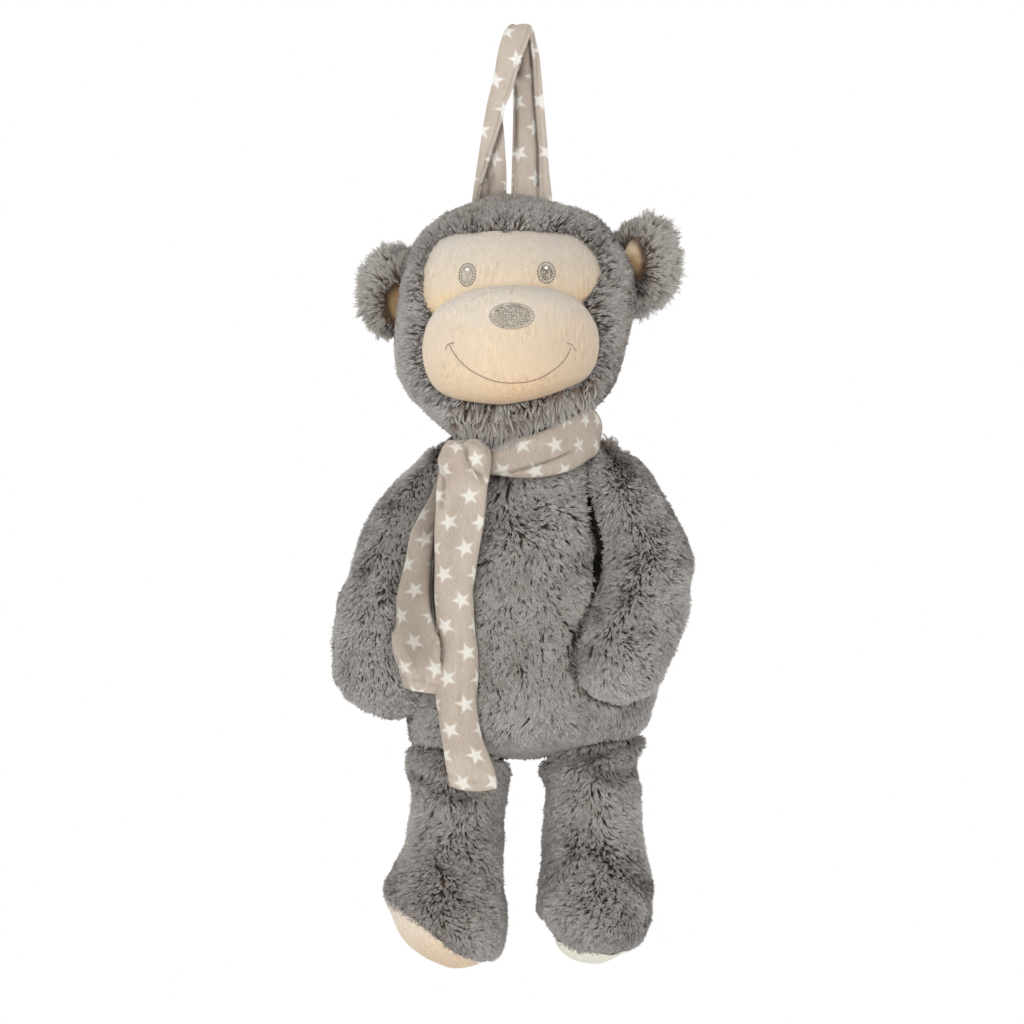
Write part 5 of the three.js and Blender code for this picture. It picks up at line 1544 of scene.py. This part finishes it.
def shade_torso(p, n):
    # painted shadow in the armpit gap and along the right arm's lower edge; random tone, lighter on the upper torso
    gap = -0.8 * smooth(1.7, 0.8, from_line(p, ARMPIT)) * (0.35 + 0.65 * smooth(-226, -240, p[:, 2])) - 0.30 * smooth(7.0, 1.0, from_line(p, ARM_EDGE))
    tone = 0.09 * noise3(p, 10.0, 77) + 0.05 * smooth(-278, -258, p[:, 2])
    return gap * front_only(n) - 0.03 + tone + dim("torso_bag", p, n)


def shade_side(name):
    """Painted shade: sides that turn away are darker, the right ones more, and so is ruffled pile."""
    return lambda p, n: -groomed(n) * (0.05 + 0.09 * smooth(0.1, 0.7, n[:, 0])) * smooth(0.3, -0.1, n[:, 1]) + dim(name, p, n)


def shade_arm(p, n):
    # painted shadow in the armpit gap and painted light on the hand's lower end
    return -0.8 * smooth(1.1, 0.6, from_line(p, ARMPIT)) * front_only(n) + 0.32 * smooth(-313, -332, p[:, 2]) + shade_side("arm_right")(p, n)


def shade_leg(name):
    # painted shade: the legs are darker all over, the left more
    return lambda p, n: (-0.10 if name == "leg_left" else -0.05) + 0.5 * shade_side(name)(p, n) + 0.5 * dim(name, p, n)


def keep_head(p, n):
    face = (p[:, 1] < -4) & (in_outline(FACE, p[:, 0], p[:, 2], -0.2) | in_outline(MUZZLE, p[:, 0], p[:, 2], -0.2))
    return ~face & (depth_in(FORMS["torso_bag"], p) < 4)


def keep_torso(p, n):
    ok = depth_in(FORMS["head"], p) < 3
    for k in ("leg_left", "leg_right"):
        ok &= depth_in(FORMS[k], p) < 1.5
    ok &= depth_in(FORMS["arm_left"], p) < 0
    ok &= depth_in(FORMS["arm_right"], p) < 0.5
    zip_here = (np.abs(p[:, 0] - ZIP["x"]) < ZIP["width"] / 2 + 1.0) & (p[:, 1] > 10) & (p[:, 2] < ZIP["top"] + 1) & (p[:, 2] > ZIP["bottom"] - 1)
    return ok & ~zip_here


def keep_arm(p, n):
    return depth_in(FORMS["torso_bag"], p) < 1.0 + 6.0 * np.exp(-(from_line(p, ARMPIT) / 1.3) ** 2) * front_only(n)


def keep_leg(name):
    return lambda p, n: (sole_depth(name, p) < -0.6) & (depth_in(FORMS["torso_bag"], p) < 1.5)


def style_leg(name):
    def f(p, n):
        up, tight, tall, sink, tufty = style_limb(name)(p, n)
        near = smooth(8.0, 1.0, -sole_depth(name, p))
        return up * (1 - 0.3 * near), tight * (1 - 0.9 * near), tall * (1 - 0.1 * near), sink, tufty * (1 - near)
    return f


def front_back(pts):
    f = pts[:, 1] < 0
    return [("_front", f), ("_back", ~f)]


LIMB = dict(density=7.0, lean=49, lean_vary=9, wander=1.15, clump=1.7, long=5.0, end_pull=0.42, width=0.40, tip_pull=0.43, reach=0.92)
HAIR = [
    ("head", comb_head, keep_head, HEAD_TREE, dict(density=7.0, lean=52, lean_vary=9, clump=1.9, long=4.5, end_pull=0.4, width=0.40, tip_pull=0.42, wander=0.7, reach=0.97, tuft=8.0, tuft_pull=0.62, tuft_wander=1.1, lump=0.26, seed=11, split=front_back, style=style_head, shade=shade_head)),
    ("torso_bag", comb_torso, keep_torso, CLOTH_TREE, dict(density=7.0, lean=50, lean_vary=11, clump=2.1, width=0.40, tip_pull=0.49, wander=1.1, reach=0.94, end_pull=0.42, seed=12, split=front_back, style=style_torso, shade=shade_torso, long=6.0)),
    # painted light: the left arm's pile is lighter all over
    ("arm_left", comb_limb(-70, 0.014), keep_arm, CLOTH_TREE, dict(seed=13, style=style_limb("arm_left"), shade=lambda p, n: 0.09 + shade_side("arm_left")(p, n), **LIMB)),
    ("arm_right", comb_limb(55, 0.014), keep_arm, CLOTH_TREE, dict(seed=14, style=style_limb("arm_right"), shade=shade_arm, **LIMB)),
    ("leg_left", comb_limb(-35, 0.014), keep_leg("leg_left"), CLOTH_TREE, dict(seed=15, style=style_leg("leg_left"), shade=shade_leg("leg_left"), **LIMB)),
    ("leg_right", comb_limb(35, 0.014), keep_leg("leg_right"), CLOTH_TREE, dict(seed=36, style=style_leg("leg_right"), shade=shade_leg("leg_right"), **LIMB)),
]
for name, comb, keep, tree, kw in HAIR:
    g, n = GRIDS[name]
    label = "torso_fur" if name == "torso_bag" else name + "_fur"
    for ob in pile(label, g, n, comb, keep, stop=tree, **kw):
        ob.data.materials.append(FUR)
        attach(ob, ROOT)
        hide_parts(name)

for (name, e), seed in zip(EARS.items(), (21, 22)):
    R, at = ear_turn(e), np.array(e["at"], float)
    g, n = ball_grid((e["half"][0] - 3.5, e["half"][1] - 0.5, e["half"][2] - 3.7), 72, 48)
    out = 1.0 if name == "ear_right" else -1.0
    gw, nw = g @ R.T + at + np.array([-0.5 if out > 0 else -0.1, 0, -1.0]), n @ R.T
    hole = e["bare"][:2]

    def keep_ear(p, q, R=R, at=at, e=e):
        l = (p - at) @ R
        d = from_dish(l[:, 0], l[:, 2], e) * (1 + 0.14 * noise3(p, 4.0, 63))
        in_dish = (l[:, 1] < 0) & (d < 1)
        return ~in_dish & (depth_in(FORMS["head"], p) < 4)

    def comb_ear(p, q, R=R, at=at, dish=hole, out=out):
        l = (p - at) @ R
        l = l - np.array([dish[0], 0, dish[1]]) * smooth(6, -6, l[:, 1])[:, None] + np.array([out * 16.0, 0, 6.0]) * smooth(0, 5, l[:, 1])[:, None]
        l[:, 1] = 0
        return unit(l) @ R.T + np.array([0, 0, 0.12])

    def style_ear(p, q, R=R, at=at, e=e):
        l = (p - at) @ R
        near = from_dish(l[:, 0], l[:, 2], e)
        front = smooth(2, -3, l[:, 1])
        rim = smooth(2.1, 1.0, near) * front
        one = np.ones(len(p))
        rim = rim * (1 + 0.35 * noise3(p, 3.5, 61))
        return 1.08 - 0.62 * rim, 1 - 0.3 * rim, (1.12 - 0.1 * rim) * (1 - 0.28 * smooth(0.0, 0.5, q[:, 1])), one - 0.35 * smooth(1.3, 1.0, near) * front, 0.6 * one

    def shade_ear(p, q, R=R, at=at, e=e):
        # painted light over the ears, painted shade next to each lining's rim and in the nooks where they meet the head
        l = (p - at) @ R
        near = from_dish(l[:, 0], l[:, 2], e)
        inner = (smooth(2.3, 1.3, near) + 0.9 * smooth(1.75, 1.3, near)) * smooth(2, -3, l[:, 1])
        nook = in_patch(p, 409, 263, 9, 11) + in_patch(p, 397, 334, 10, 8) + in_patch(p, 646, 290, 12, 13)
        return np.maximum(0.11 - 0.20 * inner * (1 + 0.4 * noise3(p, 4.0, 65)) - 0.20 * nook * front_only(q) + 0.08 * noise3(p, 6.0, 66), -0.38)

    for ob in pile(name + "_fur", gw, nw, comb_ear, keep_ear, style=style_ear, density=13.5, depth=5.0, lean=53, lean_vary=10, clump=1.0, width=0.26, long=2.6, back=0.6, calm=0.2, inset=0.55, tip_pull=0.50, seed=seed, wander=0.7,
                   ragged=0.09, reach=0.95, lump=0.16, thin=1.0, shade=lambda p, n, f=shade_ear: f(p, n), tuft=5.0, tuft_pull=0.5, tuft_wander=0.8, vary=0.11):
        ob.data.materials.append(EAR_FUR)
        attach(ob, ROOT)
        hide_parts(name)

# ---------------------------------------------------------------- long locks
def locks(name, node, roots, ends, lift, strands=9, spread=1.1, wave=1.0, over=None, seed=1, shade=0.0, wide=0.34, uneven=0.07, deep=0.30):
    """Joined long locks from roots to ends (millimetres): each strand a thin strip that bends and ends in a point. over: cloth that they lie on."""
    rng = np.random.default_rng(seed)
    n, S = len(roots), 5
    shade = np.broadcast_to(shade, (n,))
    vs, fq, ft, uvs, ns = [], [], [], [], []
    t = np.linspace(0, 1, S + 1)[:, None]
    at = 0
    for i in range(n):
        a, b = roots[i], ends[i]
        L = np.linalg.norm(b - a)
        p1 = a + lift[i] * L * 0.45 + (b - a) * 0.10
        p2 = b - (b - a) * 0.30 + lift[i] * L * 0.16
        c = a * (1 - t) ** 3 + 3 * p1 * t * (1 - t) ** 2 + 3 * p2 * t ** 2 * (1 - t) + b * t ** 3
        across = unit(np.cross(b - a, np.array([0, -1.0, 0])))
        amp = wave * rng.normal(0, 0.5) * L / 12
        turn = rng.uniform(0, 2 * math.pi)
        c = c + across * amp * (np.sin(t * rng.uniform(4.0, 6.5) + turn) - math.sin(turn)) * smooth(0, 0.4, t)
        tone = rng.normal(0, uneven)
        for j in range(strands):
            o = rng.normal(0, spread * 0.5, 3)
            f = rng.uniform(0.82, 1.08)
            tt = t * f
            q = np.stack([np.interp(tt[:, 0], t[:, 0], c[:, m]) for m in range(3)], -1) + o * (1 - 0.72 * t) + rng.normal(0, 0.12, 3) * t
            if f > 1:
                q += (c[-1] - c[-2]) * S * np.maximum(0, tt - 1)
            if over is not None:
                for m in range(S + 1):
                    hit = over.ray_cast((q[m, 0], -160.0, q[m, 2]), (0, 1, 0), 200.0)
                    if hit[0] is not None and q[m, 1] > hit[0][1] - 0.6:
                        q[m, 1] = hit[0][1] - 0.6 - 0.3 * rng.random()
            d = unit(np.gradient(q, axis=0))
            w = unit(np.cross(d, np.array([0, -1.0, 0])) + rng.normal(0, 0.15, 3))
            h = wide * 0.5 * np.clip(rng.normal(1, 0.2), 0.5, 1.5) * (1 - 0.35 * t)
            v = np.concatenate([q[:S] + w[:S] * h[:S], q[:S] - w[:S] * h[:S], q[S:]])
            vs.append(v)
            m = np.arange(S - 1)
            fq.append(at + np.stack([m, m + 1, m + 1 + S, m + S], -1))
            ft.append(at + np.array([[S - 1, 2 * S, 2 * S - 1]]))
            tint = np.clip(0.5 + shade[i] + tone + rng.normal(0, 0.06), 0.02, 0.95)
            along = np.concatenate([t[:S, 0], t[:S, 0], [1.0]])
            uvs.append(np.stack([np.full(2 * S + 1, tint) + np.r_[np.full(S, 0.003), np.full(S, -0.003), 0], deep + (0.96 - deep) * along], -1))
            nn = unit(np.array([0, -1.0, 0.15]) + across * (o @ across) / spread * 0.7 + rng.normal(0, 0.12, 3))
            ns.append(np.tile(nn, (2 * S + 1, 1)))
            at += 2 * S + 1
    ob = build(name, np.concatenate(vs), [np.concatenate(fq), np.concatenate(ft)], uv=np.concatenate(uvs), uv_name="OFBake", normals=np.concatenate(ns))
    ob.data.materials.append(FUR)
    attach(ob, ROOT)
    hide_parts(node)
    return ob


# chin hair hangs over the scarf's upper edge
SCARF_TREE = bvh_of(scarf)
SCARF_TOP = np.array([(440, 436), (452, 437), (463, 440), (476, 437), (484, 444), (491, 451), (519, 441), (553, 423), (576.5, 413), (598, 409)], float)
rng = np.random.default_rng(71)
roots, ends, lift = [], [], []
for layer, count, reach_in, size in ((0, 145, (0.0, 5.0), (16, 26)), (1, 130, (-9, 1), (14, 23)), (2, 95, (-20, -8), (12, 19))):
    px = np.sort(rng.uniform(458, 592, count))
    line = np.interp(px, SCARF_TOP[:, 0], SCARF_TOP[:, 1])
    end_y = line + rng.uniform(*reach_in, count)
    tall = rng.uniform(*size, count)
    slant = rng.normal(0, 3.5, count) + 5.0 * np.sin(px / 9.0 + layer)
    for x, e, s, sl in zip(px, end_y, tall, slant):
        rx, rz = face_point(x - sl, e - s, -38)
        if in_outline(MUZZLE, np.array([rx]), np.array([rz]), 0.3)[0]:
            rz = rz - 3.0
            if in_outline(MUZZLE, np.array([rx]), np.array([rz]), 0.3)[0]:
                continue
        y = float(front_of(FORMS["head"], np.array([rx]), np.array([rz]))[0])
        ex, ez = face_point(x, e, -46)
        roots.append((rx, y + 1.5, rz))
        ends.append((ex, min(y + 2.0, -34.0) - rng.uniform(2.0, 4.0) * (1 if layer else 1.3), ez))
        lift.append((0, -0.8, -0.3))
chin_x = picture_place(np.array(roots))[:, 0]
# painted light on the chin's locks, most on the left, with painted shade in a patch at the middle
chin_light_and_shade = 0.10 + 0.24 * np.exp(-((chin_x - 470) / 22.0) ** 2) - 0.16 * np.exp(-((chin_x - 523) / 13.0) ** 2)
locks("head_fur_chin", "head", np.array(roots), np.array(ends), np.array(lift), over=SCARF_TREE, seed=72, wave=1.6, shade=chin_light_and_shade, uneven=0.13, deep=0.10, spread=1.0)

# tufts on the shoulder beside the scarf
roots, ends, lift = [], [], []
for x, y, dx, dy, count in ((607, 447, 0.5, -13, 9), (614, 450, 3.0, -8, 9), (624, 456, 5.0, -6, 8)):
    for _ in range(count):
        px, py = x + rng.normal(0, 2.6), y + rng.uniform(-2, 7)
        rx, rz = face_point(px, py, -8)
        ex, ez = face_point(px + dx + rng.normal(0, 3.0), py + dy * rng.uniform(0.7, 1.1), -10)
        d = rng.uniform(-14, -2)
        roots.append((rx, d + 2, rz))
        ends.append((ex, d - 2, ez))
        lift.append((0.1, -0.3, 0.3))
locks("arm_right_fur_tufts", "arm_right", np.array(roots), np.array(ends), np.array(lift), seed=73, wave=2.4, shade=-0.14, strands=6, uneven=0.1, deep=0.2, wide=0.28)

# ---------------------------------------------------------------- zip
def plain_material(name, col, dark, rough, metal=0.0):
    m, t, b = new_material(name)
    k = Nodes(t)
    pos = k.add("ShaderNodeNewGeometry").outputs["Position"]
    n = k.noise(k.mapping(pos, (2400, 2400, 1200)), 1.0, 3, 0.6)
    k.set(b, "Base Color", k.mix(k.remap(n, 0.3, 0.7, 0, 1), col, dark))
    k.set(b, "Roughness", k.remap(n, 0.3, 0.7, rough - 0.07, rough + 0.07))
    b.inputs["Metallic"].default_value = metal
    k.set(b, "Normal", k.bump(n, 0.3, 0.0003))
    return m


TAPE = plain_material("zip_tape_weave", lin(172, 160, 146), lin(150, 138, 124), 0.9)
METAL = plain_material("dull_nickel", lin(176, 174, 168), lin(150, 148, 142), 0.35, 0.9)
COIL = plain_material("nylon_coil", lin(150, 139, 126), lin(128, 117, 105), 0.5)
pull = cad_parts["zip_pull"]
pull.data.materials.clear()
pull.data.materials.append(METAL)


def stubs(ends, wide, k=6):
    """Short round-ended bars between pairs of points."""
    vs, fs = [], []
    prof = ((0.0, 0.35), (0.12, 0.9), (0.88, 0.9), (1.0, 0.35))
    for i, (a, b) in enumerate(ends):
        a, b = np.array(a, float), np.array(b, float)
        d = unit(b - a)
        w = unit(np.cross(d, np.array([0.0, 1.0, 0.05])))
        n = np.cross(w, d)
        t = np.arange(k) * 2 * math.pi / k
        for f, r in prof:
            vs.append(a + (b - a) * f + (np.cos(t)[:, None] * w + np.sin(t)[:, None] * n) * r * wide * 0.5)
        fs.append(grid_faces(4, k) + i * 4 * k)
    return np.concatenate(vs), np.concatenate(fs)


torso = FORMS["torso_bag"]


def zip_y(z):
    return np.interp(z, torso[::-1, 0], torso[::-1, 4]) - ZIP["sink"]


z = np.linspace(ZIP["top"] - 0.4, ZIP["bottom"] + 0.4, 70)
g, uv, _ = band(np.stack([np.full(70, ZIP["x"]), zip_y(z) - 0.9, z], -1), np.full(70, 7.6), 15.2, 1.2, ZIP["top"] - z,
                lambda u, s: 0.5 * np.exp(-(u / 0.16) ** 2) - 0.5 * u * u + 0.12 * np.sin(s / 4.0 + 3 * u))
v, f, m2 = ringed(g, uv)
tape = build("zip_tape_cloth", v, f, uv=m2)
finish_piece(tape, "zip_tape", TAPE)
ends = []
for i, h in enumerate(np.arange(ZIP["top"] - 2.0, ZIP["bottom"] + 2.0, -1.15)):
    y = float(zip_y(h)) + 0.15
    ends.append(((ZIP["x"] - 2.1, y - 0.3, h + 0.35), (ZIP["x"] + 2.1, y + 0.1, h - 0.35)))
bars, faces = stubs(ends, 1.05)
sewn = []
for h in np.arange(ZIP["top"] - 2.0, ZIP["bottom"] + 4.0, -2.7):
    for s in (-5.1, 5.1):
        sewn.append(((ZIP["x"] + s, float(zip_y(h)) + 0.05, h), (ZIP["x"] + s, float(zip_y(h - 2.0)) + 0.05, h - 2.0)))
more, faces2 = stubs(sewn, 0.5)
coil = build("zip_coil", np.concatenate([bars, more]), np.concatenate([faces, faces2 + len(bars)]))
finish_piece(coil, "zip_tape", COIL)

# ---------------------------------------------------------------- stage, light, camera
me = bpy.data.meshes.new("floor")
s = 4.0
me.from_pydata([(-s, -s, -1.6), (s, -s, -1.6), (s, s, -1.6), (-s, s, -1.6)], [], [(0, 1, 2, 3)])
floor = bpy.data.objects.new("floor", me)
bpy.context.scene.collection.objects.link(floor)
fm, ft, fb = new_material("pale_floor")
fb.inputs["Base Color"].default_value = (0.86, 0.86, 0.86, 1)
fb.inputs["Roughness"].default_value = 0.9
floor.data.materials.append(fm)

world = bpy.data.worlds.new("studio")
bpy.context.scene.world = world
world.use_nodes = True
wt = world.node_tree
for n in list(wt.nodes):
    wt.nodes.remove(n)
wo = wt.nodes.new("ShaderNodeOutputWorld")
lit = wt.nodes.new("ShaderNodeBackground")
seen = wt.nodes.new("ShaderNodeBackground")
lit.inputs[0].default_value = (1, 1, 1, 1)
lit.inputs[1].default_value = 0.62
seen.inputs[0].default_value = (1, 1, 1, 1)
seen.inputs[1].default_value = 1.0
lp = wt.nodes.new("ShaderNodeLightPath")
mx = wt.nodes.new("ShaderNodeMixShader")
wt.links.new(lp.outputs["Is Camera Ray"], mx.inputs[0])
wt.links.new(lit.outputs[0], mx.inputs[1])
wt.links.new(seen.outputs[0], mx.inputs[2])
wt.links.new(mx.outputs[0], wo.inputs[0])


def lamp(name, at, to, size, power, colour=(1, 1, 1)):
    d = bpy.data.lights.new(name, "AREA")
    d.color = colour
    d.shape = "RECTANGLE"
    d.size, d.size_y = size
    d.energy = power
    o = bpy.data.objects.new(name, d)
    bpy.context.scene.collection.objects.link(o)
    o.location = at
    o.rotation_euler = (Vector(to) - Vector(at)).to_track_quat("-Z", "Y").to_euler()
    o.visible_camera = False
    return o


lamp("key", (-0.8, -1.9, 0.2), (0, 0, -0.24), (1.0, 1.0), 12)
lamp("fill", (1.2, -1.6, 0.05), (0, 0, -0.24), (1.2, 1.4), 8)
lamp("rim_left", (-1.3, 0.8, 0.1), (0, 0, -0.24), (0.8, 1.4), 7, (0.93, 0.97, 1.0))
lamp("rim_right", (1.3, 0.8, 0.1), (0, 0, -0.24), (0.8, 1.4), 6, (0.93, 0.97, 1.0))
lamp("top", (0.1, -0.4, 1.2), (0, 0, -0.24), (1.4, 1.0), 0.5)
lamp("low", (0.0, -1.9, -0.75), (0, 0, -0.24), (1.2, 0.7), 6)

cam = bpy.data.cameras.new("camera")
cam.sensor_width = 36.0
cam.lens = 36.0 * CAMERA_FAR / FRAME_WIDE
cam.clip_end = 50
co = bpy.data.objects.new("camera", cam)
bpy.context.scene.collection.objects.link(co)
co.location = (AIM[0] * MM, -CAMERA_FAR * MM, AIM[1] * MM)
co.rotation_euler = (math.pi / 2, 0, 0)
bpy.context.scene.camera = co
bpy.context.scene.view_settings.view_transform = "Standard"
bpy.context.scene.view_settings.look = "None"

print("strands", BUDGET["strands"])
